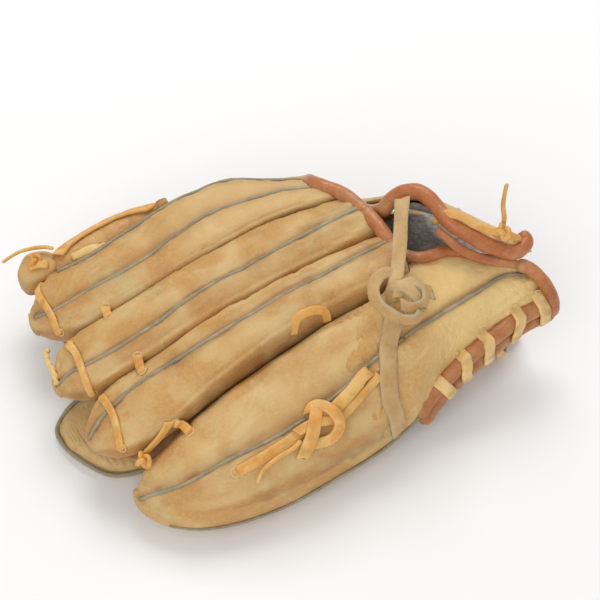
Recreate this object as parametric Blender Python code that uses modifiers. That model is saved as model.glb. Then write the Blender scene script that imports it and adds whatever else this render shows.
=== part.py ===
"""A laced baseball glove for the left hand, lying nearly closed on its thumb side.

+X runs from the fingertips to the wrist, +Y from the little finger to the web, +Z up. The design is in
millimetres, laid out from a drawing origin near the knuckles; at() turns it into metres with the origin
under the middle of the glove.
"""
import math

import bpy
import bmesh
from mathutils import Vector
from mathutils.bvhtree import BVHTree

# ---------------------------------------------------------------- driving dimensions, in millimetres
DRAWING_CENTRE = (-10.8, -1.4)      # the middle of the glove on the drawing
GAP = 0.4                           # between neighbouring solids
SHELL = 3.0                         # leather of a flat panel
CAVITY_WALL = 6.5                   # leather and padding round a finger hole
WELT_RADIUS = 1.3
WELT_LIFT = 0.7                     # clear of the leather below a welt
LACE_LIFT = 1.9                     # from the leather to the middle of a lace
OVER_WELT = 2.8                     # how much higher a lace rides over a welt
ROLL_RADIUS = 4.3                   # padded binding rolls of the heel
BINDING_RADIUS = 3.2                # rolled bindings of the window and the strap
LACE = (5.0, 1.8)                   # rawhide lace, width and thickness
TIE = (10.0, 2.4)                   # the wide tie strap
RING_SIDES = 16                     # points round a finger stall

FOLD_HEEL = (125.0, 32.0, 20.0)     # the pocket folds about the line through these two points
FOLD_WEB = (-118.0, 103.0, 24.0)
STRAP_PIVOT = (86.0, 42.0, 46.0)    # where the wrist strap is sewn down
VALLEY = {                          # the creases between the stalls: distance along X against Y
    "index_middle": [(-150, 38), (-126, 31), (-20, 31), (13, 26), (40, 20)],
    "middle_ring": [(-150, -12), (-126, -10), (40, -11)],
    "ring_pinky": [(-150, -60), (-110, -54), (-88, -49), (-58, -45), (-20, -42), (40, -43)],
}

COLOURS = {                         # linear colour and roughness
    "leather": ((0.46, 0.27, 0.12), 0.62),
    "pale leather": ((0.56, 0.42, 0.24), 0.66),
    "palm leather": ((0.40, 0.21, 0.09), 0.60),
    "welt": ((0.30, 0.27, 0.20), 0.60),
    "binding": ((0.42, 0.13, 0.04), 0.45),
    "lace": ((0.66, 0.32, 0.07), 0.50),
    "heel lace": ((0.72, 0.52, 0.27), 0.55),
    "tie strap": ((0.58, 0.40, 0.20), 0.62),
    "fleece": ((0.36, 0.34, 0.30), 0.95),
}


# ---------------------------------------------------------------- helpers
def at(x, y, z):
    """A point of the drawing, in metres from the middle of the glove's base."""
    return Vector((x - DRAWING_CENTRE[0], y - DRAWING_CENTRE[1], z)) * 0.001


def clear_scene():
    for thing in list(bpy.data.objects):
        bpy.data.objects.remove(thing, do_unlink=True)


def collection(name):
    made = bpy.data.collections.new(name)
    bpy.context.scene.collection.children.link(made)
    return made


def material(name, kind):
    colour, roughness = COLOURS[kind]
    made = bpy.data.materials.new(name)
    made.use_nodes = True
    shader = made.node_tree.nodes["Principled BSDF"]
    shader.inputs["Base Color"].default_value = (*colour, 1.0)
    shader.inputs["Roughness"].default_value = roughness
    shader.inputs["Metallic"].default_value = 0.0
    made.diffuse_color = (*colour, 1.0)
    return made


def place(name, data, kind, body):
    """A new object of the glove, with its own material, riding on one of the bodies."""
    data.materials.append(material(name, kind))
    made = bpy.data.objects.new(name, data)
    GLOVE.objects.link(made)
    made.parent = BODIES[body]
    bpy.context.view_layer.update()
    made.matrix_parent_inverse = BODIES[body].matrix_world.inverted()
    return made


def value_at(table, x):
    """Reads a table of (x, value) pairs, straight between its rows."""
    if x <= table[0][0]:
        return table[0][1]
    for (x0, v0), (x1, v1) in zip(table, table[1:]):
        if x <= x1:
            return v0 + (v1 - v0) * (x - x0) / (x1 - x0)
    return table[-1][1]


def spline(rows, steps):
    """Catmull-Rom rows between the given rows, each row a tuple of numbers."""
    found = []
    for i in range(len(rows) - 1):
        p0, p1, p2 = rows[max(i - 1, 0)], rows[i], rows[i + 1]
        p3 = rows[min(i + 2, len(rows) - 1)]
        for k in range(steps):
            t = k / steps
            found.append(tuple(
                0.5 * (2 * b + (c - a) * t + (2 * a - 5 * b + 4 * c - d) * t * t
                       + (3 * b - a - 3 * c + d) * t ** 3)
                for a, b, c, d in zip(p0, p1, p2, p3)))
    found.append(tuple(rows[-1]))
    return found


def mesh_from(name, points, faces):
    """A mesh with its faces turned outwards and its sides smooth."""
    build = bmesh.new()
    corners = [build.verts.new(point) for point in points]
    for face in faces:
        build.faces.new([corners[i] for i in face])
    bmesh.ops.recalc_face_normals(build, faces=build.faces[:])
    data = bpy.data.meshes.new(name)
    build.to_mesh(data)
    build.free()
    data.shade_smooth()
    data.set_sharp_from_angle(angle=math.radians(40))
    return data


def loft(name, rings, start, end):
    """Rings of equal count joined side to side, with a point closing each end."""
    count = len(rings[0])
    points = [start] + [point for ring in rings for point in ring] + [end]
    faces = []
    for k in range(count):
        faces.append((0, 1 + k, 1 + (k + 1) % count))
        base = 1 + (len(rings) - 1) * count
        faces.append((len(points) - 1, base + (k + 1) % count, base + k))
    for r in range(len(rings) - 1):
        for k in range(count):
            a = 1 + r * count + k
            b = 1 + r * count + (k + 1) % count
            faces.append((a, a + count, b + count, b))
    return mesh_from(name, points, faces)


def tube(name, route, radius, kind, body, steps=3, closed=False, sides=1):
    """A round cord, welt or roll along a smooth route."""
    rows = spline(route + [route[0]] if closed else route, steps)
    if closed:
        rows.pop()
    data = bpy.data.curves.new(name, "CURVE")
    data.dimensions = "3D"
    data.bevel_depth = radius * 0.001
    data.bevel_resolution = sides
    data.use_fill_caps = True
    line = data.splines.new("POLY")
    line.points.add(len(rows) - 1)
    for point, row in zip(line.points, rows):
        point.co = (*at(*row), 1.0)
    line.use_cyclic_u = closed
    return place(name, data, kind, body)


def strap(name, route, kind, body, size, steps=2):
    """A flat lace: each row of the route is a point and the way its flat side faces there."""
    rows = spline(route, steps)
    middles = [at(*row[:3]) for row in rows]
    width, thick = size[0] * 0.0005, size[1] * 0.0005
    rings = []
    for i, middle in enumerate(middles):
        ahead = middles[min(i + 1, len(middles) - 1)] - middles[max(i - 1, 0)]
        face = Vector(rows[i][3:])
        across = ahead.cross(face).normalized()
        face = across.cross(ahead).normalized()
        rings.append([middle + across * width * a + face * thick * b
                      for a, b in ((1, 1), (-1, 1), (-1, -1), (1, -1))])
    return place(name, loft(name, rings, middles[0], middles[-1]), kind, body)


def sheet(name, rows, thickness, kind, body, steps=2, floor=0.0, sink=0.0):
    """A leather panel: rows of points, made smooth both ways, given its thickness by Solidify.

    Its rows run along +X and its points along +Y, so its upper side is the side that is drawn.
    """
    rows = [spline(row, steps) for row in rows]
    columns = [spline([row[k] for row in rows], steps) for k in range(len(rows[0]))]
    high, wide = len(columns[0]), len(columns)
    points = [at(columns[k][j][0], columns[k][j][1], max(columns[k][j][2], floor))
              for j in range(high) for k in range(wide)]
    faces = [(j * wide + k, (j + 1) * wide + k, (j + 1) * wide + k + 1, j * wide + k + 1)
             for j in range(high - 1) for k in range(wide - 1)]
    data = bpy.data.meshes.new(name)
    data.from_pydata(points, [], faces)
    for corner, facing in [(v, v.normal.copy()) for v in data.vertices]:
        corner.co -= facing * sink * 0.001
    data.shade_smooth()
    made = place(name, data, kind, body)
    solid = made.modifiers.new("leather thickness", "SOLIDIFY")
    solid.thickness = thickness * 0.001
    solid.offset = -1.0
    return made


def knot(name, middle, radii, kind, body):
    """A pulled-tight knot, as one rounded lump."""
    build = bmesh.new()
    bmesh.ops.create_uvsphere(build, u_segments=10, v_segments=6, radius=1.0)
    for corner in build.verts:
        corner.co = Vector([c * r * 0.001 for c, r in zip(corner.co, radii)]) + at(*middle)
    data = bpy.data.meshes.new(name)
    build.to_mesh(data)
    build.free()
    data.shade_smooth()
    return place(name, data, kind, body)


# ---------------------------------------------------------------- finger and thumb stalls
def section(x, low_y, high_y, low_z, high_z, lean, inset=0.0):
    """A soft oblong ring across the glove: lean lifts its web side against its little-finger side."""
    low_y, high_y = low_y + inset, high_y - inset
    low_z, high_z = low_z + inset, high_z - inset
    power = 2.0 / 2.5
    around = []
    for k in range(RING_SIDES):
        turn = 2 * math.pi * (k + 0.5) / RING_SIDES
        u = math.copysign(abs(math.cos(turn)) ** power, math.cos(turn))
        v = math.copysign(abs(math.sin(turn)) ** power, math.sin(turn))
        around.append((u, v + lean * u))
    most_u = max(u for u, v in around)
    most_v = max(v for u, v in around)
    ring = []
    for u, v in around:
        y = 0.5 * (low_y + high_y) + 0.5 * (high_y - low_y) * u / most_u
        z = 0.5 * (low_z + high_z) + 0.5 * (high_z - low_z) * v / most_v
        ring.append(at(x, y, max(z, 0.0)))
    return ring


def stall(name, stations, tip, finger_end, kind, body):
    """A padded finger stall, with a finger hole that opens at its wrist end.

    stations run from the tip to the base as (x, low y, high y, low z, high z, lean).
    """
    outer = spline(stations, 2)
    rings = [section(*row) for row in outer]
    hollow = [row for row in outer if row[0] > finger_end]
    rings += [section(*row, inset=CAVITY_WALL) for row in reversed(hollow)]
    last = hollow[0]
    floor = at(last[0] - 6, 0.5 * (last[1] + last[2]), 0.5 * (last[3] + last[4]))
    return place(name, loft(name, rings, at(*tip), floor), kind, body)


def between(low, high, rows):
    """Stations that fill the room between two creases: rows are (x, low z, high z, lean)."""
    filled = []
    for x, low_z, high_z, lean, low_pull, high_pull in rows:
        low_y = value_at(VALLEY[low], x) + GAP + low_pull
        high_y = value_at(VALLEY[high], x) - GAP - high_pull
        filled.append((x, low_y, high_y, low_z, high_z, lean))
    return filled


INDEX_OUTER = [(-141, 64), (-134, 71), (-122, 77), (-100, 77), (-70, 80), (-40, 82), (-12, 79),
               (10, 71), (34, 62)]


def index_stations():
    rows = [(-141, 29, 39, 0.0, 14), (-134, 28, 47, 0.0, 7), (-122, 29, 55, 0.0, 1),
            (-100, 34, 61, -0.1, 0), (-70, 42, 70, -0.15, 0), (-40, 48, 79, -0.2, 0),
            (-12, 54, 86, -0.4, 0), (10, 56, 90, -0.7, 0), (30, 57, 92, -1.0, 0)]
    return [(x, value_at(VALLEY["index_middle"], x) + GAP + pull, value_at(INDEX_OUTER, x),
             low_z, high_z, lean) for x, low_z, high_z, lean, pull in rows]


def middle_stations():
    return between("middle_ring", "index_middle", [
        (-145, 29, 39, 0.0, 14, 18), (-138, 28, 48, 0.0, 6, 8), (-126, 29, 55, 0.0, 0, 1),
        (-100, 34, 64, 0.0, 0, 0), (-60, 44, 78, 0.0, 0, 0), (-20, 53, 87, 0.0, 0, 0),
        (8, 57, 92, 0.0, 0, 0), (36, 59, 95, 0.0, 0, 0)])


def ring_stations():
    return between("ring_pinky", "middle_ring", [
        (-141, 27, 35, 0.0, 19, 11), (-134, 27, 43, 0.0, 10, 4), (-122, 29, 51, 0.0, 3, 0),
        (-100, 34, 60, 0.1, 0, 0), (-72, 41, 71, 0.1, 0, 0), (-37, 48, 82, 0.0, 0, 0),
        (-5, 55, 89, 0.0, 0, 0), (40, 58, 94, 0.0, 0, 0)])


def pinky_stations():
    rows = [(-130, -76, 9, 23, 0.2, 6), (-122, -86, 5, 31, 0.3, 2), (-108, -95, 4, 40, 0.4, 0),
            (-88, -101, 4, 49, 0.5, 0), (-60, -103, 4, 59, 0.6, 0), (-30, -101, 6, 67, 0.7, 0),
            (2, -97, 8, 75, 0.7, 0), (29, -91, 15, 81, 0.7, 0)]
    return [(x, low_y, value_at(VALLEY["ring_pinky"], x) - GAP - pull, low_z, high_z, lean)
            for x, low_y, low_z, high_z, lean, pull in rows]


def thumb_stations():
    return [(-149, -15, 6, -2, 9, 0.0), (-144, -25, 11, -2, 11, 0.0), (-136, -36, 14, -2, 12, 0.0),
            (-122, -43, 16, -2, 13, 0.0), (-100, -45, 18, -3, 16, 0.0), (-60, -42, 24, -3, 24, 0.0),
            (-20, -38, 32, -3, 30, 0.0), (12, -36, 38, -3, 34, 0.0)]


def make_stalls():
    stall("index_stall", index_stations(), (-144, 57, 33), -62, "leather", "finger_side")
    stall("middle_stall", middle_stations(), (-148, 10, 33), -62, "leather", "finger_side")
    stall("ring_stall", ring_stations(), (-144, -30, 27), -60, "leather", "finger_side")
    stall("pinky_stall", pinky_stations(), (-133, -67, 16), -62, "leather", "finger_side")
    stall("thumb_stall", thumb_stations(), (-152, -4, 3), -85, "leather", "thumb_side")


# ---------------------------------------------------------------- what lies on the outside
class Skin:
    """The glove's upper surface as built so far, to lay welts and laces on."""

    def __init__(self):
        graph = bpy.context.evaluated_depsgraph_get()
        points, faces = [], []
        for thing in GLOVE.objects:
            if thing.type == "EMPTY":
                continue
            shape = thing.evaluated_get(graph).to_mesh()
            start = len(points)
            points += [thing.matrix_world @ v.co for v in shape.vertices]
            faces += [[start + i for i in face.vertices] for face in shape.polygons]
        self.tree = BVHTree.FromPolygons(points, faces)

    def under(self, x, y, lift):
        """The drawing point lift above the surface at (x, y), and the way the surface faces there."""
        start = at(x, y, 200)
        hit, facing, _, _ = self.tree.ray_cast(start, Vector((0, 0, -1)))
        spot = hit * 1000 + facing * lift
        return (spot.x + DRAWING_CENTRE[0], spot.y + DRAWING_CENTRE[1], spot.z, *facing)

    def along(self, places, lift, over=0):
        """A route over places; over counts the ones, from the second, that ride over a welt."""
        return [self.under(x, y, lift + (OVER_WELT if 1 <= i <= over else 0))
                for i, (x, y) in enumerate(places)]


WELTS = {
    "index_edge_welt": [(-119, 74), (-106, 73), (-93, 73), (-79, 76), (-58, 77), (-38, 78), (-22, 77),
                        (-6, 70), (12, 59), (26, 50)],
    "index_welt": [(-140, 58), (-134, 53), (-126, 49), (-102, 48), (-77, 48), (-50, 51), (-34, 52),
                   (-13, 49), (9, 42), (27, 34)],
    "middle_welt": [(-143, 8), (-136, 5), (-127, 2), (-97, 1), (-60, 3), (-23, 3), (2, 4), (33, 5)],
    "ring_welt": [(-140, -29), (-134, -27), (-125, -26), (-108, -24), (-72, -25), (-37, -25),
                  (-12, -25), (12, -24), (38, -22)],
    "pinky_welt": [(-129, -72), (-111, -79), (-88, -81), (-66, -83), (-42, -82), (-16, -78), (6, -73),
                   (27, -70)],
}
HEEL_WELT = [(33, -69), (51, -67), (80, -61.5), (98, -58), (112, -60)]


def make_welts(skin):
    for name, places in WELTS.items():
        route = [row[:3] for row in skin.along(places, WELT_RADIUS + WELT_LIFT)]
        tube(name, route, WELT_RADIUS, "welt", "finger_side", steps=3, sides=0)
    route = [row[:3] for row in skin.along(HEEL_WELT, WELT_RADIUS + 1.2)]
    tube("heel_panel_welt", route, WELT_RADIUS, "welt", "finger_side", steps=3, sides=0)
    outline = [(x, low_y - 2.2, low_z + 7) for x, low_y, _, low_z, _, _ in pinky_stations()[1:]]
    tube("pinky_edge_welt", outline, WELT_RADIUS, "welt", "finger_side", steps=2, sides=0)
    rim = [(-118, 19.5, 6), (-136, 17, 6), (-147, 11, 5), (-154, 2, 4.5), (-153.5, -11, 4.5),
           (-147, -27, 5), (-137, -40, 5), (-122, -46.5, 6), (-100, -48.5, 7), (-60, -45.5, 10),
           (-20, -41.5, 13), (10, -39.5, 15)]
    tube("thumb_rim_welt", rim, WELT_RADIUS, "welt", "thumb_side", steps=2, sides=0)


# ---------------------------------------------------------------- palm, pocket and web
def fold_y(x):
    """Where the line the pocket folds about lies across the glove."""
    share = (FOLD_HEEL[0] - x) / (FOLD_HEEL[0] - FOLD_WEB[0])
    return FOLD_HEEL[1] + (FOLD_WEB[1] - FOLD_HEEL[1]) * share


def make_palm():
    tops = [(-130, 27), (-118, 28), (-95, 33.5), (-66, 41), (-36, 47.5), (-5, 53.5), (38, 56),
            (75, 52), (102, 45), (119, 40)]
    rows = []
    for x, top in tops:
        near = value_at(VALLEY["ring_pinky"], x) + (12 if x < -120 else 1.5)
        far = min(value_at(INDEX_OUTER, x) - (4 if x < -120 else 1), fold_y(x) - 5)
        edge = top if x < -20 else max(28, top - 0.45 * (x + 20))
        rows.append([(x, near, top), (x, -18, top), (x, 12, top), (x, 0.5 * (12 + far), top - 1),
                     (x, far, edge)])
    sheet("palm_leather_finger_side", rows, 2.4, "palm leather", "finger_side")
    tops = [(-128, 16), (-100, 19.5), (-60, 27.5), (-20, 33.5), (12, 37), (60, 32), (119, 24)]
    rows = []
    for x, top in tops:
        near = -33 if x < -120 else -38
        far = value_at([(-128, 10), (-60, 22), (-20, 58), (12, 58), (60, 44), (119, 28)], x)
        rows.append([(x, near, top), (x, -8, top), (x, 0.4 * far + 4, top - 0.5),
                     (x, far, min(top, 22))])
    sheet("palm_leather_thumb_side", rows, 2.4, "palm leather", "thumb_side")
    rows = [[(x, -40, top), (x, -22, top), (x, 0, top), (x, 18, top)]
            for x, top in ((45, 60.5), (75, 57), (102, 50), (117, 46))]
    sheet("hand_lining", rows, 3.0, "fleece", "finger_side")


def make_web():
    rows = [[(x, inner, z - 2), (x, inner + 8, z + 1), (x, outer - 3, z), (x, outer + 1, z - 11),
             (x, fold_y(x) + 1, 28)]
            for x, inner, outer, z in ((-117, 79, 98, 48), (-95, 79, 97, 50), (-70, 82, 97, 51),
                                       (-42, 84.5, 94, 53))]
    sheet("web_finger_panel", rows, 2.6, "palm leather", "finger_side")
    rows = [[(x, inner, z - 3), (x, 84, z), (x, 92, z), (x, 98, z - 6), (x, 101, z - 18)]
            for x, inner, z in ((-134, 74, 45), (-126, 77.5, 47), (-118.5, 79.5, 48))]
    sheet("web_top_piece", rows, 2.6, "leather", "finger_side")
    rows = [[(x, inner, 9), (x, inner + 0.4 * (fold_y(x) - inner), 5), (x, fold_y(x) - 12, 6),
             (x, fold_y(x) - 3, 19)]
            for x, inner in ((-117, 22), (-90, 24), (-60, 28), (-30, 36))]
    sheet("web_thumb_panel", rows, 3.4, "palm leather", "thumb_side")


# ---------------------------------------------------------------- heel
def heel_panel_rows(skin):
    first = [(x, y, skin.under(27, y, 0)[2]) for x, y in
             ((30.8, -46), (30.8, -57), (30.8, -69), (30.8, -79), (30.8, -86))]
    return [first[::-1],
            [(56, -78, 49), (56.5, -74, 60), (57, -65.5, 73.5), (58, -54, 80), (59, -42.5, 81)],
            [(78, -74.5, 59), (79, -69, 65), (81, -61, 71), (82, -54, 76), (83, -46, 78)],
            [(101, -70, 61.5), (102, -66, 64), (104, -60, 67), (104, -57, 69.5), (104, -54, 72)],
            [(119, -67, 61), (118, -65, 62.5), (116, -62, 64.5), (114, -60, 66.5), (112, -58, 69)]]


HEEL_ROLL = [(34, -89, 19), (41, -86.5, 25.5), (52, -83, 34), (67, -80, 42), (86, -77.5, 47),
             (104, -74.5, 49.5), (122, -72, 48.5)]
ROLL_DROP = (4.0, 1.0, -9.6)        # from the back roll of the heel to the palm roll


def wrap_round(middles, half_high, half_wide, turns, power):
    """A lace wound round a pair of rolls: middles run along them, and the lace starts on top."""
    route = []
    per_turn = 12
    for i in range(turns * per_turn + 1):
        share = i / (turns * per_turn)
        x, y, z = middles[round(share * (len(middles) - 1))]
        turn = 2 * math.pi * i / per_turn
        out, rise = math.sin(turn), math.cos(turn)
        size = (abs(out) ** power + abs(rise) ** power) ** (-1 / power)
        route.append((x, y - half_wide * size * out, z + half_high * size * rise, 0, -out, rise))
    return route


def make_heel(skin):
    sheet("pinky_heel_panel", heel_panel_rows(skin), SHELL, "pale leather", "finger_side")
    palm_roll = [tuple(a + b for a, b in zip(row, ROLL_DROP)) for row in HEEL_ROLL]
    tube("heel_back_roll", HEEL_ROLL, ROLL_RADIUS, "binding", "finger_side", sides=2)
    tube("heel_palm_roll", palm_roll, ROLL_RADIUS, "binding", "finger_side", sides=2)
    middle = [tuple(a + 0.5 * b for a, b in zip(row, ROLL_DROP)) for row in HEEL_ROLL]
    middles = spline(middle, 12)[4:-2]
    strap("heel_lace", wrap_round(middles, 14.8, 9.1, 5, 3.0), "heel lace", "finger_side", LACE, steps=1)
    solid_pad("pinky_heel_pad", [(40, -73.5, -64, 15, 26), (52, -70, -54, 15, 36), (85, -64.5, -50, 15, 40),
                                 (117, -60, -46, 15, 34)], "finger_side")
    solid_pad("thumb_heel_pad", [(20, -33, 6, 4, 28), (50, -45, -8, 4, 26), (85, -44, -10, 4, 24),
                                 (116, -38, -8, 4, 20)], "thumb_side")
    rows = [[(x, near, 3), (x, near + 30, 3), (x, fold_y(x) - 24, 3), (x, fold_y(x) - 6, 6),
             (x, fold_y(x) - 1, 15)]
            for x, near in ((13, -44), (36, -52), (70, -54), (100, -52), (120, -46))]
    sheet("thumb_heel_panel", rows, SHELL, "leather", "thumb_side", floor=SHELL)
    thumb_roll = [(16, -51, 7), (36, -59, 7), (66, -62, 7), (98, -60, 7), (120, -52, 7)]
    tube("thumb_heel_roll", thumb_roll, 3.6, "binding", "thumb_side", sides=1)
    middles = spline(thumb_roll, 12)[4:-4]
    strap("thumb_heel_lace", wrap_round(middles, 6.0, 6.2, 4, 2.0), "heel lace", "thumb_side", LACE, steps=1)


def solid_pad(name, stations, body):
    rows = spline([(x, low_y, high_y, low_z, high_z, 0.0) for x, low_y, high_y, low_z, high_z in stations], 2)
    ends = [at(row[0] + step, 0.5 * (row[1] + row[2]), 0.5 * (row[3] + row[4]))
            for row, step in ((rows[0], -4), (rows[-1], 4))]
    place(name, loft(name, [section(*row) for row in rows], *ends), "palm leather", body)


# ---------------------------------------------------------------- window and wrist strap
def make_bindings():
    tube("window_back_binding", [(33.6, 54, 68), (34, 42, 84), (38.5, 24, 91.5), (40.5, 8, 93.5),
                                 (44.8, -4, 92), (45.2, -18, 90), (45.2, -36, 85)],
         BINDING_RADIUS, "binding", "finger_side")
    tube("window_low_binding", [(53, -38, 83), (60, -38, 82.5), (68, -39, 81.5), (76, -40.5, 80),
                                (86, -43, 77)], 2.6, "binding", "finger_side")
    tube("wrist_binding", [(112, -52.5, 72.5), (118, -56, 69.5), (122.5, -61, 65.5), (125, -66, 62),
                           (129.5, -71, 54), (131.5, -73, 45), (131, -73, 37)], 2.8, "binding", "finger_side")


def strap_rows():
    """The wrist strap, from its front edge to its wrist edge; each row starts at the laced end."""
    return [[(77, -33, 100), (74, -20, 106), (67, -5, 105), (57, 8, 93), (51, 26, 74), (52, 44, 56),
             (58, 54, 36)],
            [(91, -48, 92), (87, -35, 101), (81, -20, 100), (74, -3, 94), (68, 20, 76), (66, 40, 56),
             (70, 51, 35)],
            [(104, -55, 83), (101, -45, 92), (96, -32, 91), (90, -14, 86), (82, 12, 74), (79, 36, 54),
             (82, 48, 34)],
            [(115, -55, 79), (114, -50, 83), (109, -40, 82), (103, -22, 78), (94, 8, 69), (90, 32, 50),
             (92, 45, 33)]]


def make_strap():
    sheet("wrist_strap", strap_rows(), 3.0, "leather", "wrist_strap")
    rows = [row[2:6] for row in strap_rows()[:3]]
    rows[0] = [tuple(0.8 * a + 0.2 * b for a, b in zip(*pair)) for pair in zip(rows[0], rows[1])]
    sheet("strap_lining", rows, 2.4, "fleece", "wrist_strap", sink=4.2)
    edge = [(121, -44, 80), (121.5, -53, 77), (115, -60, 77), (101, -59.5, 81.5), (86, -52, 90),
            (72.5, -37, 99), (69, -21, 106), (61.5, -8, 106), (51, 5, 93), (45, 24, 75), (46, 42, 58)]
    tube("strap_binding", edge, BINDING_RADIUS, "binding", "wrist_strap")


def make_strap_lace(skin):
    route = skin.along([(80, -32), (85, -37), (91, -42.5), (96, -46.5)], 1.7)
    strap("strap_lace", route, "lace", "wrist_strap", LACE)
    top = skin.under(100, -48, 4.6)
    knot("strap_lace_knot", top[:3], (4.2, 3.8, 3.8), "lace", "wrist_strap")
    x, y, z = top[:3]
    tube("strap_lace_tail", [(x + 1, y + 5.6, z + 0.5), (x + 1, y + 5.8, z + 8), (x, y + 7, z + 16),
                             (x + 0.5, y + 8, z + 24), (x + 1, y + 8, z + 32)],
         1.4, "lace", "wrist_strap", steps=2, sides=0)


# ---------------------------------------------------------------- ties and laces
def make_ties(skin):
    towards_light = (-0.35, -0.6, 0.7)
    tail = [(38, -44, 93), (43, -35, 99), (49, -25, 106), (54, -16, 113)]
    strap("tie_strap_top", [(*row, *towards_light) for row in tail], "tie strap", "finger_side", TIE)
    knot("tie_strap_knot", (30, -56, 91.5), (9, 9, 6), "tie strap", "finger_side")
    route = skin.along([(26, -63), (24, -68), (22, -74), (19.5, -80), (16.5, -86), (13, -92)], 3.0, over=2)
    route.append((11.5, -99.5, 38, -0.1, -1, 0.1))
    route.append((11, -101, 30, -0.1, -1, 0.1))
    strap("tie_strap_bottom", route, "tie strap", "finger_side", TIE)
    strap("tie_strap_end", [(41, -54, 91, 0, 0, 1), (46, -55, 90, 0, 0, 1), (52, -57, 87.5, 0.2, 0, 1)],
          "tie strap", "finger_side", TIE)
    strap("pinky_lace_upper", skin.along([(-82, -88), (-62, -89), (-46, -88.5)], LACE_LIFT), "lace",
          "finger_side", LACE)
    strap("pinky_lace_run", skin.along([(-19, -84.5), (-11, -82), (-4, -79.5)], LACE_LIFT), "lace",
          "finger_side", LACE)
    strap("pinky_lace_lower", skin.along([(-18, -92), (-8, -89.5), (4, -85.5)], LACE_LIFT), "lace",
          "finger_side", LACE)
    spot = skin.under(-32, -87, 5.2)
    knot("pinky_lace_knot", spot[:3], (10, 6, 4), "lace", "finger_side")
    tube("pinky_lace_tail", [(-46.5, -92.6, 49.2), (-52.1, -94.0, 47.2), (-61.6, -94.6, 45.4),
                             (-70.2, -95.8, 41.6), (-75.5, -98.6, 36.4)],
         1.3, "lace", "finger_side", steps=2, sides=0)
    for name, places in (("index_tip_lace", [(-131, 69), (-131, 60), (-131, 51.5), (-131, 41)]),
                         ("middle_tip_lace", [(-131, 21), (-131, 12), (-131, 3.5), (-131, -6)]),
                         ("ring_tip_lace", [(-128, -16), (-128, -26.5), (-128, -36), (-128, -48)])):
        strap(name, skin.along(places, 2.2, over=2), "lace", "finger_side", LACE)
    knot("tip_lace_knot", (-132, -61, 31), (4.5, 4.5, 4.5), "lace", "finger_side")
    for name, crease, x in (("index_middle_lace", "index_middle", -106),
                            ("middle_ring_lace", "middle_ring", -104),
                            ("ring_pinky_lace", "ring_pinky", -92)):
        y = value_at(VALLEY[crease], x)
        ends = skin.along([(x, y - 7), (x, y + 7)], 3.2)
        middle = tuple(0.5 * (a + b) for a, b in zip(*ends))
        strap(name, [ends[0], middle, ends[1]], "lace", "finger_side", LACE)
    loop = skin.along([(-16, -33), (-8, -35), (4, -35), (12, -33)], 2.2)
    loop = [loop[0], (*loop[1][:2], loop[1][2] + 5, *loop[1][3:]),
            (*loop[2][:2], loop[2][2] + 5, *loop[2][3:]), loop[3]]
    strap("crotch_lace_loop", loop, "lace", "finger_side", LACE)
    strap("web_edge_lace", skin.along([(-112, 88), (-95, 91), (-75, 92), (-52, 90)], 2.4), "lace",
          "finger_side", LACE)
    spot = skin.under(-127, 88, 5)
    knot("web_lace_knot", spot[:3], (4, 4, 4), "lace", "finger_side")
    tube("web_lace_tail", [(-114.8, 89.2, 53.8), (-121.0, 92.8, 54.6), (-133.3, 95.2, 54.5),
                           (-145.2, 93.6, 52.5)], 1.2, "lace", "finger_side", steps=3, sides=0)


def main():
    make_stalls()
    skin = Skin()
    make_palm()
    make_web()
    make_heel(skin)
    make_bindings()
    skin = Skin()
    make_welts(skin)
    make_ties(skin)
    make_strap()
    skin = Skin()
    make_strap_lace(skin)


# ---------------------------------------------------------------- the glove
clear_scene()
GLOVE = collection("baseball glove")
BODIES = {}
for body, place_of in (("thumb_side", None), ("finger_side", FOLD_HEEL), ("wrist_strap", STRAP_PIVOT)):
    empty = bpy.data.objects.new(body + "_axis", None)
    GLOVE.objects.link(empty)
    empty.location = at(*place_of) if place_of else (0.0, 0.0, 0.0)
    BODIES[body] = empty
BODIES["finger_side"].parent = BODIES["thumb_side"]
main()
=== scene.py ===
# %% [markdown]
# # A laced ball glove, lying nearly closed on its thumb side
#
# The glove is four padded finger stalls, a thumb stall, a web, a heel held by thick lacing and a wrist strap.
# Its working solids are already packed with their joints. This lesson dresses each of them: leather that
# puffs between its seams, welts, rolled bindings, rawhide laces, real knots, fleece and worn finishes.

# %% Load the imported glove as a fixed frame
import math

import bpy
import numpy as np
from mathutils import Matrix, Vector, noise
from mathutils.bvhtree import BVHTree


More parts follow.
